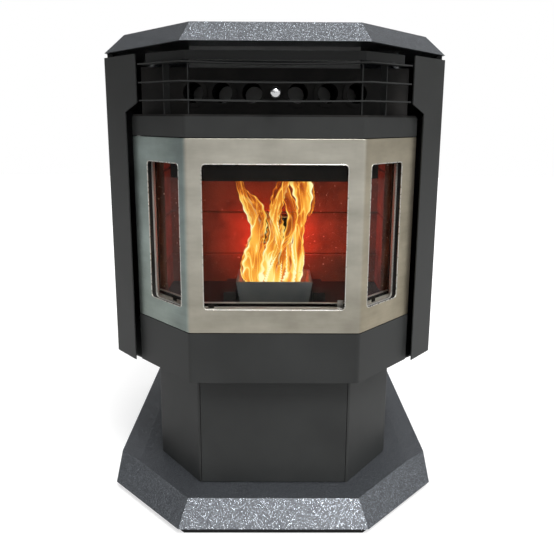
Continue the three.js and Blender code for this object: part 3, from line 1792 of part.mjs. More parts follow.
place('control_panel', controlPanel(), 'plastic');
place('power_inlet', powerInlet(), 'plastic');
export default stove;
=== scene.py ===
import json
import math

import bpy
import numpy as np
from mathutils import Matrix, Vector


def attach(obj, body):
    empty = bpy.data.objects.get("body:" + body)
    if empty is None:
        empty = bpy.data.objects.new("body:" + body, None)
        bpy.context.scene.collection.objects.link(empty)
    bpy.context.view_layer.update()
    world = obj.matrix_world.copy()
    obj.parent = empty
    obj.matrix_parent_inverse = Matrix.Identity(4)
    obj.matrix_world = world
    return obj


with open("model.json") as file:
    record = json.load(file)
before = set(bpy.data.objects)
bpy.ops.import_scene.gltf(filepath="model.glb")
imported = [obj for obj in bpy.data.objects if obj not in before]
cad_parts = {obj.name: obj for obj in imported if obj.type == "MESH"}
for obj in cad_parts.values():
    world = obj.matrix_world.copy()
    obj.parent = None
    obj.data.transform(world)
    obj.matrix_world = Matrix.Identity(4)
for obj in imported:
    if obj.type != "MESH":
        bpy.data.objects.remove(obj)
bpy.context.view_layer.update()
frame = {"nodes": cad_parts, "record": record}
nodes = frame["nodes"]


class Wire:
    # one output of a finish's node tree: sums and products of values are written as they are read
    def __init__(self, finish, socket):
        self.finish, self.socket = finish, socket

    def sum(self, operation, left, right):
        return self.finish.add("ShaderNodeMath", {"operation": operation}, {0: left, 1: right})

    def __add__(self, other):
        return self.sum("ADD", self, other)

    def __radd__(self, other):
        return self.sum("ADD", other, self)

    def __sub__(self, other):
        return self.sum("SUBTRACT", self, other)

    def __rsub__(self, other):
        return self.sum("SUBTRACT", other, self)

    def __mul__(self, other):
        return self.sum("MULTIPLY", self, other)

    def __rmul__(self, other):
        return self.sum("MULTIPLY", other, self)

    def __truediv__(self, other):
        return self.sum("DIVIDE", self, other)

    def __rtruediv__(self, other):
        return self.sum("DIVIDE", other, self)

    def __pow__(self, other):
        return self.sum("POWER", self, other)

    def __gt__(self, other):
        return self.sum("GREATER_THAN", self, other)

    def __lt__(self, other):
        return self.sum("LESS_THAN", self, other)


class Finish:
    # one material: its principled shader, and the nodes that feed it
    def __init__(self, name, **plain):
        self.material = bpy.data.materials.new(name)
        self.material.use_nodes = True
        self.tree = self.material.node_tree
        self.tree.nodes.clear()
        self.shader = self.tree.nodes.new("ShaderNodeBsdfPrincipled")
        self.output = self.tree.nodes.new("ShaderNodeOutputMaterial")
        self.tree.links.new(self.shader.outputs[0], self.output.inputs["Surface"])
        for key, value in plain.items():
            self.feed(key, value)

    # a principled socket by its name without spaces: baseColor, coatWeight, emissionStrength
    def feed(self, key, value):
        spaced = "".join(" " + c if c.isupper() else c for c in key).title()
        named = {"Ior": "IOR", "Specular Level": "Specular IOR Level"}.get(spaced, spaced)
        self.set(self.shader.inputs[named], value)

    def set(self, socket, value):
        if isinstance(value, Wire):
            self.tree.links.new(value.socket, socket)
        elif isinstance(value, (tuple, list)) and socket.type == "RGBA" and len(value) == 3:
            socket.default_value = (*value, 1.0)
        else:
            socket.default_value = value

    # any node: its settings first, then the values or wires of its sockets
    def add(self, kind, settings=None, sockets=None, out=0):
        made = self.tree.nodes.new(kind)
        for key, value in (settings or {}).items():
            if key == "stops":
                ramp = made.color_ramp
                while len(ramp.elements) < len(value):
                    ramp.elements.new(0.5)
                for element, (place, colour) in zip(ramp.elements, value):
                    element.position = place
                    element.color = (*colour, 1.0)
            else:
                setattr(made, key, value)
        for key, value in (sockets or {}).items():
            self.set(made.inputs[key], value)
        return Wire(self, made.outputs[out])

    def place(self, scale=(1.0, 1.0, 1.0), turn=(0.0, 0.0, 0.0), shift=(0.0, 0.0, 0.0)):
        here = self.add("ShaderNodeTexCoord", out="Object")
        return self.add("ShaderNodeMapping", None,
                        {"Vector": here, "Location": shift, "Rotation": turn, "Scale": scale})

    def noise(self, scale, detail=3.0, roughness=0.55, where=None, out="Fac"):
        where = where or self.place()
        return self.add("ShaderNodeTexNoise", None,
                        {"Vector": where, "Scale": scale, "Detail": detail, "Roughness": roughness}, out)

    def between(self, value, low, high, start=0.0, end=1.0):
        return self.add("ShaderNodeMapRange", {"clamp": True},
                        {"Value": value, "From Min": low, "From Max": high, "To Min": start, "To Max": end})

    def mix(self, share, first, second, how="MIX"):
        return self.add("ShaderNodeMix", {"data_type": "RGBA", "blend_type": how, "clamp_factor": True},
                        {0: share, 6: first, 7: second}, 2)

    def bump(self, height, strength=0.2, depth=0.001):
        return self.add("ShaderNodeBump", None, {"Height": height, "Strength": strength, "Distance": depth})
# finishes of the solids
satin = {"colour": (0.0195, 0.0205, 0.020), "roughness": 0.44, "grain": 900.0, "bump": 0.10}


def charcoalPaint(s):
    f = Finish("charcoalPaint", specularLevel=0.35)
    grain = f.noise(s["grain"], 2.0)
    cloud = f.noise(9.0, 3.0)
    pale = tuple(1.35 * c for c in s["colour"])
    f.feed("baseColor", f.mix(f.between(cloud, 0.35, 0.65), s["colour"], pale))
    f.feed("roughness", f.between(cloud, 0.3, 0.7, s["roughness"] - 0.04, s["roughness"] + 0.05))
    f.feed("normal", f.bump(grain, s["bump"], 0.0004))
    return f.material


flake = {"dark": (0.035, 0.038, 0.043), "pale": (0.15, 0.162, 0.18), "spark": (0.75, 0.80, 0.86),
         "size": 1500.0, "share": 0.93}


def flakePaint(s):
    # each cell of a fine Voronoi pattern is one metal flake with its own brightness and tilt
    f = Finish("flakePaint", specularLevel=0.5)
    cells = f.add("ShaderNodeTexVoronoi", {"feature": "F1"},
                  {"Vector": f.place(), "Scale": s["size"]}, "Color")
    parts = f.add("ShaderNodeSeparateColor", None, {"Color": cells}, 0)
    other = Wire(f, parts.socket.node.outputs[1])
    base = f.mix(f.between(other, 0.1, 1.0), s["dark"], s["pale"])
    bright = parts > s["share"]
    f.feed("baseColor", f.mix(bright, base, s["spark"]))
    f.feed("metallic", 0.60 + 0.35 * bright)
    f.feed("roughness", 0.36 - 0.14 * bright)
    f.feed("normal", f.bump(other, 0.35, 0.0006))
    return f.material


def blackPaint():
    f = Finish("blackPaint", specularLevel=0.35)
    f.feed("baseColor", f.mix(f.noise(14.0), (0.008, 0.008, 0.0085), (0.016, 0.016, 0.017)))
    f.feed("roughness", f.between(f.noise(60.0), 0.3, 0.7, 0.48, 0.6))
    f.feed("normal", f.bump(f.noise(1100.0, 2.0), 0.08, 0.0004))
    return f.material


def stoveBlack():
    # heat-proof black, dusted with pale ash in random patches
    f = Finish("stoveBlack", specularLevel=0.25)
    soot = f.noise(22.0, 4.0)
    f.feed("baseColor", f.mix(f.between(soot, 0.4, 0.8), (0.010, 0.0095, 0.009), (0.030, 0.028, 0.026)))
    f.feed("roughness", f.between(soot, 0.3, 0.7, 0.62, 0.82))
    f.feed("normal", f.bump(f.noise(700.0, 3.0), 0.18, 0.0005))
    return f.material


# left and right are painted reflection tints: the left facet darker and bluer, the right facet warmer
steelSheet = {"colour": (0.60, 0.575, 0.495), "shade": (0.42, 0.40, 0.34), "roughness": 0.36,
              "left": (0.80, 0.98, 1.08), "right": (1.02, 0.96, 0.86), "crease": 0.144}


def brushedStainless(s):
    # the brush runs level, so the grain is stretched along x and y and fine along z
    f = Finish("brushedStainless", metallic=1.0)
    brush = f.noise(1.0, 3.0, 0.6, f.place((14.0, 14.0, 1500.0)))
    cloud = f.noise(11.0, 4.0, 0.6)
    smear = f.noise(1.0, 3.0, 0.6, f.place((9.0, 9.0, 34.0)))
    tone = f.between(0.55 * cloud + 0.45 * smear, 0.36, 0.64)
    sheet = f.mix(tone, s["shade"], s["colour"])
    parts = f.add("ShaderNodeSeparateXYZ", None, {"Vector": f.place()}, "X")
    across, up = parts, Wire(f, parts.socket.node.outputs["Z"])
    # painted reflection: past each fold the sheet colour is multiplied by the left or the right tint
    sheet = f.mix(f.between(across, -s["crease"] + 0.002, -s["crease"] - 0.004), sheet, s["left"], "MULTIPLY")
    sheet = f.mix(f.between(across, s["crease"] - 0.002, s["crease"] + 0.004), sheet, s["right"], "MULTIPLY")
    # surroundings mirrored in the lower half are darker and warmer
    low = f.between(up, 0.56, 0.36, 0.0, 0.75)
    sheet = f.mix(low, sheet, (0.80, 0.78, 0.74), "MULTIPLY")
    # dark streak beside the left fold, where the sheet mirrors the cabinet
    streak = f.between(across, -0.190, -0.158) * f.between(across, -0.1445, -0.150)
    sheet = f.mix(0.55 * streak, sheet, (0.45, 0.48, 0.50), "MULTIPLY")
    f.feed("baseColor", sheet)
    f.feed("roughness", s["roughness"] + 0.16 * f.between(brush, 0.3, 0.7) - 0.06 * cloud)
    rounded = f.add("ShaderNodeBevel", {"samples": 6}, {"Radius": 0.0016})
    f.feed("normal", f.add("ShaderNodeBump", None,
                           {"Height": brush, "Strength": 0.12, "Distance": 0.0003, "Normal": rounded}))
    return f.material


def ceramicGlass():
    f = Finish("ceramicGlass", baseColor=(0.95, 0.93, 0.89), transmissionWeight=1.0, ior=1.13)
    f.feed("roughness", f.between(f.noise(30.0, 3.0), 0.45, 0.75, 0.01, 0.06))
    return f.material


def glassRope():
    # braid: two slanting wave sets over the cord's height
    f = Finish("glassRope", roughness=0.95, specularLevel=0.1)
    first = f.add("ShaderNodeTexWave", {"wave_type": "BANDS", "bands_direction": "DIAGONAL"},
                  {"Vector": f.place(), "Scale": 240.0, "Distortion": 0.6})
    second = f.add("ShaderNodeTexWave", {"wave_type": "BANDS", "bands_direction": "DIAGONAL"},
                   {"Vector": f.place((1.0, 1.0, -1.0)), "Scale": 240.0, "Distortion": 0.6})
    braid = first.sum("MAXIMUM", first, second)
    f.feed("baseColor", f.mix(braid, (0.24, 0.24, 0.23), (0.46, 0.45, 0.42)))
    f.feed("normal", f.bump(braid, 0.6, 0.0012))
    return f.material


brickwork = {"clay": (0.20, 0.075, 0.045), "scorched": (0.080, 0.040, 0.026)}


def firebrick(s):
    f = Finish("firebrick", specularLevel=0.15)
    body = f.noise(26.0, 5.0, 0.65)
    grit = f.noise(240.0, 3.0, 0.6)
    soot = f.noise(7.0, 2.0)
    clay = f.mix(f.between(body, 0.35, 0.7), s["clay"], s["scorched"])
    clay = f.mix(0.6 * f.between(soot, 0.45, 0.7), clay, s["scorched"])
    speck = f.between(grit, 0.66, 0.72)
    f.feed("baseColor", f.mix(speck, clay, (0.62, 0.42, 0.30)))
    f.feed("roughness", 0.86 + 0.08 * body)
    f.feed("normal", f.bump(0.6 * grit + 0.4 * body, 0.7, 0.0016))
    return f.material


def castIron():
    f = Finish("castIron", metallic=0.35, specularLevel=0.4)
    sand = f.noise(420.0, 4.0, 0.7)
    ash = f.between(f.noise(18.0, 4.0, 0.6), 0.4, 0.75)
    f.feed("baseColor", f.mix(ash, (0.040, 0.043, 0.046), (0.10, 0.10, 0.098)))
    f.feed("roughness", 0.55 + 0.2 * ash)
    f.feed("normal", f.bump(sand, 0.35, 0.0009))
    return f.material


def plainSteel():
    f = Finish("plainSteel", metallic=1.0)
    roll = f.noise(1.0, 3.0, 0.6, f.place((260.0, 26.0, 260.0)))
    tint = f.noise(6.0)
    f.feed("baseColor", f.mix(tint, (0.36, 0.36, 0.35), (0.50, 0.50, 0.49)))
    f.feed("roughness", f.between(roll, 0.3, 0.7, 0.30, 0.48))
    f.feed("normal", f.bump(roll, 0.10, 0.0003))
    return f.material


def polishedChrome():
    f = Finish("polishedChrome", metallic=1.0, baseColor=(0.82, 0.83, 0.84))
    f.feed("roughness", f.between(f.noise(90.0), 0.4, 0.8, 0.03, 0.10))
    return f.material


def blackPlastic():
    f = Finish("blackPlastic", specularLevel=0.45)
    f.feed("baseColor", f.mix(f.noise(40.0), (0.010, 0.010, 0.011), (0.018, 0.018, 0.019)))
    f.feed("roughness", f.between(f.noise(300.0), 0.3, 0.7, 0.38, 0.5))
    f.feed("normal", f.bump(f.noise(1400.0, 2.0), 0.15, 0.0004))
    return f.material


keys = {"pitch": (0.030, 0.0265), "start": (0.128, 0.5955), "radius": 0.0088}


def keyPad(s):
    # two columns of flat round keys, each with a pale ring: distance to the middle of its own cell
    f = Finish("keyPad", specularLevel=0.5)
    split = f.add("ShaderNodeSeparateXYZ", None, {"Vector": f.place()}, "Y")
    y, z = split, Wire(f, split.socket.node.outputs["Z"])
    offset = []
    for value, start, pitch in ((y, s["start"][0], s["pitch"][0]), (z, s["start"][1], s["pitch"][1])):
        cell = f.add("ShaderNodeMath", {"operation": "FRACT"}, {0: (value - start) / pitch})
        offset.append((cell - 0.5) * pitch)
    r = (offset[0] * offset[0] + offset[1] * offset[1]) ** 0.5
    key = f.between(r, s["radius"] + 0.0004, s["radius"])
    ring = key * f.between(r, s["radius"] - 0.0009, s["radius"] - 0.0006)
    face = f.mix(key, (0.012, 0.012, 0.013), (0.045, 0.047, 0.050))
    f.feed("baseColor", f.mix(ring, face, (0.42, 0.43, 0.44)))
    f.feed("roughness", f.between(f.noise(300.0), 0.3, 0.7, 0.30, 0.42))
    f.feed("normal", f.bump(key, 0.5, 0.0006))
    return f.material


def darkRope():
    # near-black rope, used only for the centre window's gasket
    f = Finish("nearBlackRope", roughness=0.95, specularLevel=0.1)
    f.feed("baseColor", f.mix(f.noise(300.0), (0.006, 0.006, 0.006), (0.014, 0.013, 0.012)))
    return f.material


def sillBandIron():
    # the sill: near-black iron below 0.394 m and streaky bright metal above it
    f = Finish("sillBandMetal", metallic=0.9)
    sillStreaks = f.noise(1.0, 3.0, 0.6, f.place((40.0, 500.0, 500.0)))
    up = f.add("ShaderNodeSeparateXYZ", None, {"Vector": f.place()}, "Z")
    bright = f.mix(sillStreaks, (0.50, 0.50, 0.48), (0.80, 0.79, 0.75))
    f.feed("baseColor", f.mix(f.between(up, 0.3940, 0.3952), (0.006, 0.006, 0.006), bright))
    f.feed("roughness", f.between(sillStreaks, 0.3, 0.7, 0.50, 0.36))
    return f.material


def ashGrey():
    # the pot: scaled grey iron
    f = Finish("ashGrey", specularLevel=0.35)
    scale = f.between(f.noise(30.0, 4.0, 0.6), 0.35, 0.7)
    f.feed("baseColor", f.mix(scale, (0.075, 0.085, 0.092), (0.110, 0.120, 0.125)))
    f.feed("roughness", 0.50 + 0.15 * scale)
    f.feed("normal", f.bump(f.noise(420.0, 4.0, 0.7), 0.25, 0.0008))
    return f.material


finishes = {
    "charcoal_paint": charcoalPaint(satin),
    "flake_paint": flakePaint(flake),
    "black_paint": blackPaint(),
    "stove_black": stoveBlack(),
    "stainless": brushedStainless(steelSheet),
    "ceramic_glass": ceramicGlass(),
    "glass_rope": glassRope(),
    "firebrick": firebrick(brickwork),
    "cast_iron": castIron(),
    "plain_steel": plainSteel(),
    "chrome": polishedChrome(),
    "black_plastic": blackPlastic(),
}
special = {"window_gasket_centre": darkRope(), "burn_pot": ashGrey(), "sill_lip": sillBandIron(),
           "control_panel": keyPad(keys)}
for piece in frame["record"]["subparts"]:
    mesh = nodes[piece["node"]].data
    mesh.materials.clear()
    mesh.materials.append(special.get(piece["node"]) or finishes[piece["material_slot"]])
print("finishes:", len(finishes))


# shapes worked out on grids
def addSurface(name, points, material, body, roundU=False, roundV=False, values=None, uv=None, smooth=True):
    # points[i, j] is a place for the i-th step of u and the j-th of v; every four neighbours make a face
    n, m = points.shape[:2]
    i, j = np.meshgrid(np.arange(n if roundU else n - 1), np.arange(m if roundV else m - 1), indexing="ij")
    near, far = i * m, ((i + 1) % n) * m
    left, right = j, (j + 1) % m
    faces = np.stack([near + left, far + left, far + right, near + right], -1).reshape(-1, 4)
    return addMesh(name, points.reshape(-1, 3), faces, material, body, values, uv, smooth)


def addMesh(name, places, faces, material, body, values=None, uv=None, smooth=True):
    mesh = bpy.data.meshes.new(name)
    mesh.from_pydata(np.asarray(places, float).tolist(), [], [list(map(int, f)) for f in faces])
    for key, value in (values or {}).items():
        layer = mesh.attributes.new(key, "FLOAT", "POINT")
        layer.data.foreach_set("value", np.asarray(value, np.float32).ravel())
    if uv is not None:
        layer = mesh.uv_layers.new(name="grain")
        corner = np.zeros(len(mesh.loops), np.int32)
        mesh.loops.foreach_get("vertex_index", corner)
        layer.data.foreach_set("uv", np.asarray(uv, np.float32).reshape(-1, 2)[corner].ravel())
    mesh.polygons.foreach_set("use_smooth", np.full(len(mesh.polygons), smooth))
    mesh.materials.append(material)
    piece = bpy.data.objects.new(name, mesh)
    bpy.context.scene.collection.objects.link(piece)
    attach(piece, body)
    return piece


def softLine(stops, steps, soften=0.06):
    # the stops joined by straight lines at even steps of length, then averaged with their neighbours
    stops = np.asarray(stops, float)
    run = np.concatenate([[0.0], np.cumsum(np.linalg.norm(np.diff(stops[:, :2], axis=0), axis=1))])
    t = np.linspace(0.0, run[-1], steps)
    line = np.stack([np.interp(t, run, stops[:, k]) for k in range(stops.shape[1])], -1)
    half = max(1, int(steps * soften))
    kernel = np.hanning(2 * half + 3)[1:-1]
    padded = np.concatenate([2 * line[:1] - line[half:0:-1], line, 2 * line[-1:] - line[-2:-half - 2:-1]])
    kernel /= kernel.sum()
    out = np.stack([np.convolve(column, kernel, "valid") for column in padded.T], -1)
    return out, t / run[-1], t


# the fire; each tongue: its depth, then stops of (x, z, half width) up its middle, in mm
fire = {
    "tongues": {
        "leftWisp": (-150, [
            (-28, 491, 11.4), (-36, 519, 10.8), (-48, 546, 9.7), (-57, 568, 8.1), (-63, 585, 5.4),
            (-67, 598, 5.0), (-68, 608, 3.8)]),
        "leftVeil": (-158, [
            (-26, 497, 12.0), (-28, 516, 15.0), (-31, 536, 16.5), (-37, 553, 14.0), (-48, 567, 8.0),
            (-55, 578, 3.1), (-59, 593, 2.1), (-61, 603, 1.5)]),
        "leftBody": (-176, [
            (-35, 408, 17.2), (-39, 429, 21.1), (-38, 450, 20.2), (-36, 470, 17.4), (-32, 490, 14.6),
            (-29, 511, 11.9), (-24, 531, 7.7), (-22, 550, 1.5)]),
        "leftLick": (-184, [
            (-51, 418, 4.7), (-56, 432, 5.4), (-56, 450, 4.6), (-50, 470, 4.6), (-45, 487, 3.1),
            (-41, 503, 1.0)]),
        "midLeft": (-168, [
            (-19, 409, 10.2), (-17, 437, 9.0), (-12, 461, 9.0), (-6, 481, 7.8), (-2, 498, 6.2),
            (-4, 514, 5.4), (-11, 530, 4.2), (-17, 543, 1.2)]),
        "mainBand": (-180, [
            (11, 412, 15.2), (17, 440, 12.0), (18, 463, 9.3), (22, 487, 8.5), (28, 510, 8.8),
            (33, 531, 9.5), (30, 552, 10.3), (21, 571, 8.7), (18, 588, 5.7), (21, 603, 4.5),
            (21, 613, 3.8)]),
        "upperLeft": (-164, [
            (4, 486, 5.1), (1, 509, 7.0), (0, 531, 9.5), (3, 550, 12.0), (7, 570, 12.5),
            (13, 585, 11.0), (21, 597, 8.0), (23, 610, 5.0)]),
        "rightBody": (-172, [
            (37, 410, 11.4), (41, 432, 12.1), (43, 454, 11.7), (42, 476, 10.5), (44, 499, 9.3),
            (47, 521, 8.5), (50, 538, 10.0), (53, 553, 14.1), (51, 573, 17.9), (48, 588, 19.8),
            (46, 601, 20.5), (46, 612, 18.9)]),
        "rightEdge": (-186, [
            (47, 431, 3.5), (51, 451, 3.1), (52, 467, 1.9), (51, 486, 1.1)]),
        "rightCurl": (-160, [
            (61, 531, 2.3), (65, 542, 5.0), (68, 558, 5.0), (68, 575, 3.8), (66, 590, 3.5),
            (67, 602, 4.2)]),
        "midVeil": (-150, [
            (-6, 440, 12.0), (-4, 462, 15.0), (0, 484, 17.0), (3, 505, 17.0), (2, 526, 13.0),
            (-2, 545, 8.0), (-4, 560, 1.5)]),
        "midLick": (-174, [
            (12, 470, 3.5), (8, 488, 5.5), (3, 505, 6.5), (1, 522, 5.0), (3, 540, 3.2),
            (6, 556, 1.0)]),
        "lowCentre": (-192, [
            (-4, 413, 16.2), (0, 432, 13.9), (4, 450, 10.0), (9, 464, 5.4), (13, 475, 1.1)]),
        "lowRight": (-188, [
            (25, 414, 12.0), (30, 435, 10.0), (29, 457, 7.7), (26, 479, 5.7), (28, 500, 2.7),
            (30, 513, 1.0)]),
    },
    "cool": ["leftWisp", "leftVeil", "upperLeft", "rightCurl", "midVeil"],   # orange, and more see-through
    "bulge": 0.9,           # how far a tongue stands out, as a share of its half width
    "hot": (1.12, 0.34),    # glow and warmth
    "coolGlow": (1.12 * 0.9, 0.16),
    "steps": (90, 25),      # along and across a tongue
    "ripple": 0.10,         # of its width
    "swing": 0.004,         # of its middle, to and from the door
    "shift": (0.37, 0.61),  # of the pattern from one tongue to the next
}
flow = {"stretch": (80.0, 17.0, 1.0), "thread": 0.34, "patch": 0.46, "rim": 0.36, "fade": 0.36}


def flameFinish(name, glow, warmth):
    # filaments along the flow, a bright rim, and less heat towards the tip
    f = Finish(name, baseColor=(0.0, 0.0, 0.0), roughness=1.0, specularLevel=0.0, emissionStrength=glow)
    grain = f.add("ShaderNodeUVMap", {"uv_map": "grain"})
    edge = f.add("ShaderNodeAttribute", {"attribute_name": "edge"}, out="Fac")
    rise = f.add("ShaderNodeAttribute", {"attribute_name": "rise"}, out="Fac")
    warped = f.add("ShaderNodeMapping", None, {"Vector": grain, "Scale": flow["stretch"]})
    lick = f.add("ShaderNodeTexNoise", {"noise_dimensions": "2D"},
                 {"Vector": warped, "Scale": 1.0, "Detail": 1.2, "Roughness": 0.5, "Distortion": 0.9}, "Fac")
    wide = f.add("ShaderNodeTexNoise", {"noise_dimensions": "2D"},
                 {"Vector": warped, "Scale": 0.42, "Detail": 1.0, "Distortion": 0.8}, "Fac")
    thread = f.add("ShaderNodeMath", {"operation": "ABSOLUTE"}, {0: 2.0 * lick - 1.0})
    thread = (1.0 - thread) ** 9.0
    rim = f.between(edge, 0.62, 0.90) * f.between(edge, 1.0, 0.94)
    patch = f.between(wide, 0.38, 0.62)
    heat = flow["thread"] * thread + flow["patch"] * patch + flow["rim"] * rim + warmth - flow["fade"] * rise
    stops = [(0.0, (0.16, 0.020, 0.002)), (0.20, (0.58, 0.13, 0.012)), (0.42, (0.90, 0.31, 0.030)),
             (0.62, (1.0, 0.56, 0.085)), (0.82, (1.0, 0.84, 0.27)), (1.0, (1.0, 0.96, 0.56))]
    f.feed("emissionColor", f.add("ShaderNodeValToRGB", {"stops": stops}, {"Fac": heat}, "Color"))
    thin = f.between(heat, 0.05, 0.55, 0.45, 1.0)
    ends = f.between(rise, 1.0, 0.90), f.between(rise, 0.0, 0.04)
    f.feed("alpha", thin * f.between(edge, 1.0, 0.90) * ends[0] * ends[1])
    return f.material


def makeFire(s):
    hot = flameFinish("flameHot", *s["hot"])
    cool = flameFinish("flameCool", *s["coolGlow"])
    for k, (name, (depth, stops)) in enumerate(s["tongues"].items()):
        line, rise, run = softLine(stops, s["steps"][0])
        x, z, half = (line[:, c] / 1000 for c in range(3))
        along = np.gradient(np.stack([x, z], -1), axis=0)
        along /= np.linalg.norm(along, axis=1)[:, None]
        u = np.linspace(-1.0, 1.0, s["steps"][1])[:, None]
        # a half pipe: across the flow by half * u, and out by half * bulge * root of (1 - u squared)
        ripple = s["ripple"] * np.sin(38.0 * rise * (1 + 0.1 * k) + 2.1 * k)[None, :] * u
        spread = u * (1 + ripple)
        px = x[None, :] + along[None, :, 1] * half[None, :] * spread
        pz = z[None, :] - along[None, :, 0] * half[None, :] * spread
        swing = s["swing"] * np.sin(5.0 * rise + 1.7 * k)[None, :]
        py = depth / 1000 + swing - s["bulge"] * half[None, :] * np.sqrt(np.clip(1 - u * u, 0, 1))
        points = np.stack([px, py + 0 * px, pz], -1)
        along = np.broadcast_to(run[None, :] / 1000 + s["shift"][1] * k, px.shape)
        uv = np.stack([u * half[None, :] + s["shift"][0] * (k + 1), along], -1)
        values = {"edge": np.abs(u) + 0 * px, "rise": rise[None, :] + 0 * px}
        material = cool if name in s["cool"] else hot
        addSurface("flame_" + name, points, material, "cabinet", values=values, uv=uv)
    print("fire:", len(s["tongues"]), "tongues")


makeFire(fire)


# embers, pellets and hopper fill
def emberFinish():
    # black char with glowing cracks
    f = Finish("glowingEmbers", roughness=0.95, specularLevel=0.1, emissionStrength=1.6)
    crack = f.add("ShaderNodeTexVoronoi", {"feature": "DISTANCE_TO_EDGE"},
                  {"Vector": f.place(), "Scale": 120.0}, 0)
    heat = f.between(crack, 0.22, 0.0) * f.between(f.noise(45.0), 0.3, 0.6)
    heat = heat + 0.45 * f.between(f.noise(70.0), 0.45, 0.7)
    f.feed("baseColor", f.mix(f.noise(200.0), (0.012, 0.010, 0.009), (0.10, 0.09, 0.085)))
    stops = [(0.0, (0.02, 0.001, 0.0)), (0.4, (0.55, 0.05, 0.005)),
             (0.75, (1.0, 0.30, 0.03)), (1.0, (1.0, 0.70, 0.20))]
    f.feed("emissionColor", f.add("ShaderNodeValToRGB", {"stops": stops}, {"Fac": heat}, "Color"))
    return f.material


def pelletFinish():
    f = Finish("pressedWood", roughness=0.75, specularLevel=0.25)
    grain = f.noise(1.0, 3.0, 0.6, f.place((380.0, 380.0, 380.0)))
    tone = f.noise(60.0, 2.0)
    share = f.between(0.5 * grain + 0.5 * tone, 0.35, 0.65)
    f.feed("baseColor", f.mix(share, (0.20, 0.105, 0.045), (0.46, 0.29, 0.15)))
    f.feed("normal", f.bump(grain, 0.4, 0.0006))
    return f.material


bellSteepness = 2.2


def heap(name, s, material):
    # a level bed that rises in the middle, with fine waves: z = top + rise * exp(-2.2 * (u2 + v2)) + waves
    u, v = np.meshgrid(np.linspace(-1, 1, s["steps"]), np.linspace(-1, 1, s["steps"]), indexing="ij")
    x, y = s["half"][0] * u, s["half"][1] * v
    bell = np.exp(-bellSteepness * (u * u + v * v))
    waves = np.sin(9.0 * u + 2.0) * np.cos(8.0 * v)
    waves += 0.6 * np.sin(23.0 * u - 5.0 * v) * np.cos(19.0 * v + 1.0)
    z = s["top"] + s["rise"] * bell + s["wave"] * waves
    bottom = np.full_like(z, s["top"] - s["skirt"])
    # the same grid again lower down, joined round its rim, so that the bed is closed
    upper = np.stack([x + s["middle"][0], y + s["middle"][1], z], -1)
    lower = np.stack([x + s["middle"][0], y + s["middle"][1], bottom], -1)
    n = s["steps"]
    grid = np.arange(n * n).reshape(n, n)
    top = np.stack([grid[:-1, :-1], grid[1:, :-1], grid[1:, 1:], grid[:-1, 1:]], -1).reshape(-1, 4)
    under = (n * n + top)[:, ::-1]
    rim = np.concatenate([grid[:, 0], grid[-1, 1:], grid[-2::-1, -1], grid[0, -2:0:-1]])
    following = np.roll(rim, -1)
    wall = np.stack([rim, rim + n * n, following + n * n, following], -1)
    places = np.concatenate([upper.reshape(-1, 3), lower.reshape(-1, 3)])
    return addMesh(name, places, np.concatenate([top, under, wall]), material, s["body"])


def pellets(name, s, material):
    # short rods with domed ends: a ring of 8 carried along 4 stations, turned and strewn over the heap
    rng = np.random.default_rng(s["seed"])
    count, sides = s["count"], 8
    stations = np.array([(-1.0, 0.35), (-0.86, 1.0), (0.86, 1.0), (1.0, 0.35)])
    turn = np.linspace(0, 2 * np.pi, sides, endpoint=False)
    ring = np.stack([np.cos(turn), np.sin(turn)], -1)
    rod = np.concatenate([np.column_stack([np.full(sides, a), r * ring]) for a, r in stations])
    length = rng.uniform(*s["length"], count) / 2
    size = np.stack([length, np.full(count, s["radius"]), np.full(count, s["radius"])], -1)
    heading, tilt = rng.uniform(0, 2 * np.pi, count), rng.normal(0, s["tilt"], count)
    forward = np.stack([np.cos(heading) * np.cos(tilt), np.sin(heading) * np.cos(tilt), np.sin(tilt)], -1)
    side = np.stack([-np.sin(heading), np.cos(heading), np.zeros(count)], -1)
    upward = np.cross(forward, side)
    spread = rng.uniform(-1, 1, (count, 2)) * (np.array(s["half"]) - s["length"][1] / 2)
    bell = np.exp(-bellSteepness * ((spread / np.array(s["half"])) ** 2).sum(1))
    height = s["top"] + s["rise"] * bell + rng.uniform(*s["layer"], count)
    middle = np.column_stack([spread + np.array(s["middle"]), height])
    local = rod[None] * size[:, None]
    places = middle[:, None] + local[..., :1] * forward[:, None]
    places = places + local[..., 1:2] * side[:, None] + local[..., 2:] * upward[:, None]
    k = np.arange(sides)
    band = np.stack([k, (k + 1) % sides, (k + 1) % sides + sides, k + sides], -1)
    faces = np.concatenate([band + sides * q for q in range(3)])
    caps = [list(k[::-1]), list(k + 3 * sides)]
    offsets = np.arange(count) * len(rod)
    quads = (faces[None] + offsets[:, None, None]).reshape(-1, 4)
    ends = [[c + o for c in cap] for o in offsets for cap in caps]
    return addMesh(name, places.reshape(-1, 3), list(quads) + ends, material, s["body"])


emberBed = {"middle": (0.0, -0.1775), "half": (0.0545, 0.040), "top": 0.392, "rise": 0.007, "wave": 0.0012,
            "skirt": 0.012, "steps": 60, "body": "cabinet"}
emberPellets = {**emberBed, "half": (0.052, 0.038), "count": 110, "length": (0.008, 0.017), "radius": 0.003,
                "tilt": 0.35, "layer": (0.0, 0.005), "seed": 4}
hopperBed = {"middle": (0.0, 0.127), "half": (0.158, 0.118), "top": 0.742, "rise": 0.022, "wave": 0.0015,
             "skirt": 0.03, "steps": 70, "body": "cabinet"}
hopperPellets = {**hopperBed, "count": 1500, "length": (0.010, 0.024), "radius": 0.003, "tilt": 0.3,
                 "layer": (0.0, 0.006), "seed": 9}
embers, wood = emberFinish(), pelletFinish()
heap("emberBed", emberBed, embers)
pellets("emberPellets", emberPellets, embers)
heap("hopperFill", hopperBed, wood)
pellets("hopperPellets", hopperPellets, wood)
print("embers and hopper pellets")


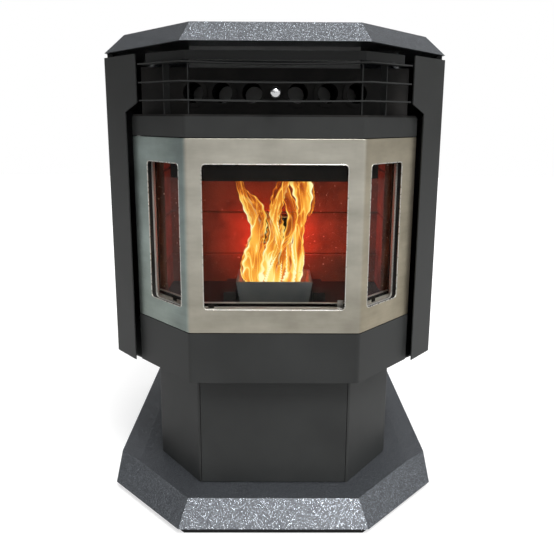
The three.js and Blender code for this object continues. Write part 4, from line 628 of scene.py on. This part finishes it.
def domeGrid(radius, height, sides=20, rings=5):
    # quarter ellipse turned round the axis: r = radius * cos(t), h = height * sin(t)
    t = np.linspace(0, np.pi / 2, rings)
    turn = np.linspace(0, 2 * np.pi, sides, endpoint=False)
    r, h = radius * np.cos(t), height * np.sin(t)
    r[-1] = radius * 0.02
    return np.stack([r[None, :] * np.cos(turn)[:, None], r[None, :] * np.sin(turn)[:, None],
                     np.broadcast_to(h[None, :], (sides, rings))], -1)


def screwHeads(name, s, material):
    # pan heads on the given places, each facing the given way, all in one mesh
    out = np.asarray(s["out"], float) / np.linalg.norm(s["out"])
    a = np.cross(out, (0.0, 0.0, 1.0)) if abs(out[2]) < 0.9 else np.array((1.0, 0.0, 0.0))
    a /= np.linalg.norm(a)
    b = np.cross(out, a)
    dome = domeGrid(s["radius"], s["height"])
    skirt = np.concatenate([dome[:, :1] - np.array((0, 0, s["sink"])), dome], 1)
    local = skirt[..., :1] * a + skirt[..., 1:2] * b + skirt[..., 2:] * out
    places, faces = [], []
    n, m = skirt.shape[:2]
    i, j = np.meshgrid(np.arange(n), np.arange(m - 1), indexing="ij")
    near, far = i * m, ((i + 1) % n) * m
    quads = np.stack([near + j, far + j, far + j + 1, near + j + 1], -1).reshape(-1, 4)
    for k, where in enumerate(s["places"]):
        places.append((local + np.asarray(where)).reshape(-1, 3))
        faces += (quads + k * n * m).tolist()
        faces.append([k * n * m + q * m + m - 1 for q in range(n)])
        faces.append([k * n * m + q * m for q in range(n)][::-1])
    return addMesh(name, np.concatenate(places), faces, material, s["body"])


backZ = (0.275, 0.41, 0.54, 0.67, 0.795)
backScrews = {"places": [(x, 0.2931, z) for x in (-0.292, 0.292) for z in backZ] +
              [(x, 0.2931, z) for x in (-0.15, 0.0, 0.15) for z in (0.272, 0.798)],
              "out": (0, 1, 0), "radius": 0.0045, "height": 0.0022, "sink": 0.0003,
              "body": "cabinet"}
screwHeads("backScrews", backScrews, finishes["black_paint"])
print("hardware")


# door trim: a point of the door comes from its facet (-1 left, 0 centre, 1 right), the metres along
# that facet, the depth behind its face, and the height
fold = {"crease": 0.144, "front": -0.291, "along": (0.65077, 0.75927)}


def onDoor(facet, along, depth, height):
    c, s = fold["along"]
    along, depth, height = np.broadcast_arrays(along, depth, height)
    if facet == 0:
        return np.stack([along, fold["front"] + depth, height], -1)
    across, back = fold["crease"] + c * along - s * depth, fold["front"] + s * along + c * depth
    return np.stack([facet * across, back, height], -1)


windows = {"centre": (0, -0.1185, 0.1185), "left": (-1, 0.020, 0.117), "right": (1, 0.020, 0.117)}
rim = {"low": 0.3910, "high": 0.6325, "corner": 0.0065, "radius": 0.0009, "depth": 0.0004,
       "sides": 8, "arc": 7}


def windowRim(name, facet, start, end, s, material):
    # a thin round bead carried round the window's cut edge, a rectangle with quarter-circle corners
    t = np.linspace(0, np.pi / 2, s["arc"])
    quarter = [(end, s["high"], 0), (start, s["high"], 1), (start, s["low"], 2), (end, s["low"], 3)]
    along, height, heading = [], [], []
    for x, z, k in quarter:
        cx = x - s["corner"] if k in (0, 3) else x + s["corner"]
        cz = z - s["corner"] if k in (0, 1) else z + s["corner"]
        angle = t + k * np.pi / 2
        along.append(cx + s["corner"] * np.cos(angle))
        height.append(cz + s["corner"] * np.sin(angle))
        heading.append(angle)
    along, height, heading = (np.concatenate(v)[:, None] for v in (along, height, heading))
    turn = np.linspace(0, 2 * np.pi, s["sides"], endpoint=False)[None, :]
    out, deep = s["radius"] * np.cos(turn), s["radius"] * np.sin(turn)
    depth = s["depth"] + deep + 0 * along
    points = onDoor(facet, along + out * np.cos(heading), depth, height + out * np.sin(heading))
    if facet < 0:
        points = points[::-1]
    addSurface(name, points, material, "door", roundU=True, roundV=True)


# metal of the bead round the windows: the bead rounds the cut edge, and its colour, paler than the sheet, is
# a painted highlight along that edge
def edgeHighlightFinish():
    f = Finish("cutEdgeHighlight", metallic=1.0)
    f.feed("baseColor", f.mix(f.noise(80.0), (0.66, 0.65, 0.60), (0.86, 0.85, 0.80)))
    f.feed("roughness", f.between(f.noise(160.0), 0.3, 0.7, 0.22, 0.38))
    return f.material


# (depth, height) outline of a Z-shaped clip, holding the pane to the frame by its low foot
clip = {"outline": [(0.0184, -0.006), (0.0197, -0.006), (0.0197, 0.0000), (0.0203, 0.0010), (0.0203, 0.0150),
                    (0.0191, 0.0150), (0.0191, 0.0016), (0.0184, 0.0008)],
        "half": 0.005, "body": "door"}
lowClip, highClip = 0.3800, 0.6435
# painted glint and painted shade: the clips are one steel part, but the low right one is bright steel and the
# others stove black
glintPaintedSeats = [(0, 0.1125, 0.3885, 1)]
shadePaintedSeats = [(0, -0.1075, lowClip, 1)] + [(0, x, highClip, -1) for x in (-0.1075, 0.1075)]
shadePaintedSeats += [(facet, 0.070, level, way) for facet in (-1, 1)
              for level, way in ((lowClip, 1), (highClip, -1))]


def glassClips(name, s, seats, material):
    depth, rise = np.array(s["outline"]).T
    n = len(depth)
    places, faces = [], []
    for k, (facet, along, level, way) in enumerate(seats):
        ends = [onDoor(facet, along + side * s["half"], depth, level + way * rise) for side in (-1, 1)]
        places.append(np.concatenate(ends))
        wall = [[q, (q + 1) % n, (q + 1) % n + n, q + n] for q in range(n)]
        wall += [list(range(n))[::-1], list(range(n, 2 * n))]
        flipped = (way < 0) != (facet < 0)
        turned = [face[::-1] for face in wall] if flipped else wall
        faces += [[v + 2 * n * k for v in face] for face in turned]
    return addMesh(name, np.concatenate(places), faces, material, s["body"], smooth=False)


# the beads carry a painted highlight in their pale metal
highlightBeadSteel = edgeHighlightFinish()
for side, (facet, start, end) in windows.items():
    windowRim("windowRim_" + side, facet, start, end, rim, highlightBeadSteel)
# the dark clips carry painted shade, the bright one a painted glint
glassClips("glassClips", clip, shadePaintedSeats, finishes["stove_black"])
glassClips("clipPaintedGlint", clip, glintPaintedSeats, finishes["plain_steel"])
print("door trim")

# one red lamp in the pot, and two behind the flames that redden the bricks on either side
fireLight = {
    "emberLight": ((0.0, -0.178, 0.402), (1.0, 0.10, 0.03), 2.6, 0.014),
    "leftGlow": ((-0.040, -0.118, 0.485), (1.0, 0.045, 0.030), 0.42, 0.02),
    "rightGlow": ((0.046, -0.118, 0.480), (1.0, 0.045, 0.030), 0.36, 0.02),
    "flameLight": ((0.0, -0.190, 0.52), (1.0, 0.30, 0.10), 0.25, 0.04),
}


def lightFire(s):
    for name, (where, colour, power, radius) in s.items():
        lamp = bpy.data.lights.new(name, "POINT")
        lamp.color, lamp.energy, lamp.shadow_soft_size = colour, power, radius
        glow = bpy.data.objects.new(name, lamp)
        glow.location = where
        glow.visible_camera = glow.visible_transmission = glow.visible_glossy = False
        bpy.context.scene.collection.objects.link(glow)


lightFire(fireLight)

# the camera stands where the photograph's stood: pinhole fitted to the part's own corners
camera = {
    "place": (-0.00529, -1.3905, 0.7056),
    "yaw": -0.492,      # degrees, about the upright
    "pitch": 13.174,    # degrees, down
    "roll": 0.321,
    "lens": 44.285,
}


def setCamera(s):
    # forward, right and up from the yaw, pitch and roll, then right and up turned by the roll
    y, p, r = (math.radians(s[k]) for k in ("yaw", "pitch", "roll"))
    forward = Vector((-math.sin(y) * math.cos(p), math.cos(y) * math.cos(p), -math.sin(p)))
    level = Vector((math.cos(y), math.sin(y), 0.0))
    rise = Vector((-math.sin(y) * math.sin(p), math.cos(y) * math.sin(p), math.cos(p)))
    right = level * math.cos(r) + rise * math.sin(r)
    up = rise * math.cos(r) - level * math.sin(r)
    data = bpy.data.cameras.new("photoCamera")
    data.lens = s["lens"]
    data.sensor_width = 36.0
    data.clip_start, data.clip_end = 0.01, 60.0
    eye = bpy.data.objects.new("photoCamera", data)
    bpy.context.scene.collection.objects.link(eye)
    eye.matrix_world = Matrix((right, up, -forward)).transposed().to_4x4()
    eye.location = s["place"]
    bpy.context.scene.camera = eye


studio = {
    "sky": 0.20,            # light of the surroundings on the object, on every side
    "skyFront": 1.55,       # and what is added towards the middle of the brighter part
    "skyMiddle": (0.32, -0.40, 0.86),
    "sunTravel": (-0.24, 0.62, -1.0),
    "sun": 2.1,
    "sunSize": 22.0,        # degrees across
    "floor": (0.50, 0.50, 0.50),
    "floorGlow": 0.62,      # seen by the camera only, so that the floor runs into the white backdrop
    "floorSize": 14.0,
}


def setStudio(s):
    world = bpy.data.worlds.new("studioSky")
    bpy.context.scene.world = world
    world.use_nodes = True
    tree = world.node_tree
    back = tree.nodes["Background"]
    path = tree.nodes.new("ShaderNodeLightPath")
    # the surroundings: even at the sides and behind, brighter above the front, by the square of the cosine
    way = tree.nodes.new("ShaderNodeTexCoord")
    toward = tree.nodes.new("ShaderNodeVectorMath")
    toward.operation = "DOT_PRODUCT"
    toward.inputs[1].default_value = s["skyMiddle"]
    tree.links.new(way.outputs["Generated"], toward.inputs[0])
    chain = toward.outputs["Value"]
    steps = (("MAXIMUM", 0.0), ("POWER", 2.0), ("MULTIPLY", s["skyFront"]), ("ADD", s["sky"]))
    for operation, other in steps:
        step = tree.nodes.new("ShaderNodeMath")
        step.operation = operation
        step.inputs[1].default_value = other
        tree.links.new(chain, step.inputs[0])
        chain = step.outputs[0]
    # straight from the camera the backdrop is white
    level = tree.nodes.new("ShaderNodeMapRange")
    level.inputs["To Max"].default_value = 1.0
    tree.links.new(path.outputs["Is Camera Ray"], level.inputs["Value"])
    tree.links.new(chain, level.inputs["To Min"])
    tree.links.new(level.outputs[0], back.inputs["Strength"])
    back.inputs["Color"].default_value = (1.0, 1.0, 1.0, 1.0)
    lamp = bpy.data.lights.new("softSun", "SUN")
    lamp.energy = s["sun"]
    lamp.angle = math.radians(s["sunSize"])
    sun = bpy.data.objects.new("softSun", lamp)
    bpy.context.scene.collection.objects.link(sun)
    sun.rotation_euler = Vector(s["sunTravel"]).to_track_quat("-Z", "Y").to_euler()
    half = s["floorSize"] / 2
    mesh = bpy.data.meshes.new("floor")
    corners = [(-half, -half, 0), (half, -half, 0), (half, half, 0), (-half, half, 0)]
    mesh.from_pydata(corners, [], [(0, 1, 2, 3)])
    floor = bpy.data.objects.new("floor", mesh)
    bpy.context.scene.collection.objects.link(floor)
    pale = Finish("paleFloor", baseColor=s["floor"], roughness=0.9, specularLevel=0.0)
    cameraRay = pale.add("ShaderNodeLightPath", out="Is Camera Ray")
    pale.feed("emissionColor", (1.0, 1.0, 1.0))
    pale.feed("emissionStrength", cameraRay * s["floorGlow"])
    mesh.materials.append(pale.material)


setCamera(camera)
setStudio(studio)
bpy.context.scene.view_settings.view_transform = "Standard"
print("stage: camera, soft sun and pale floor")
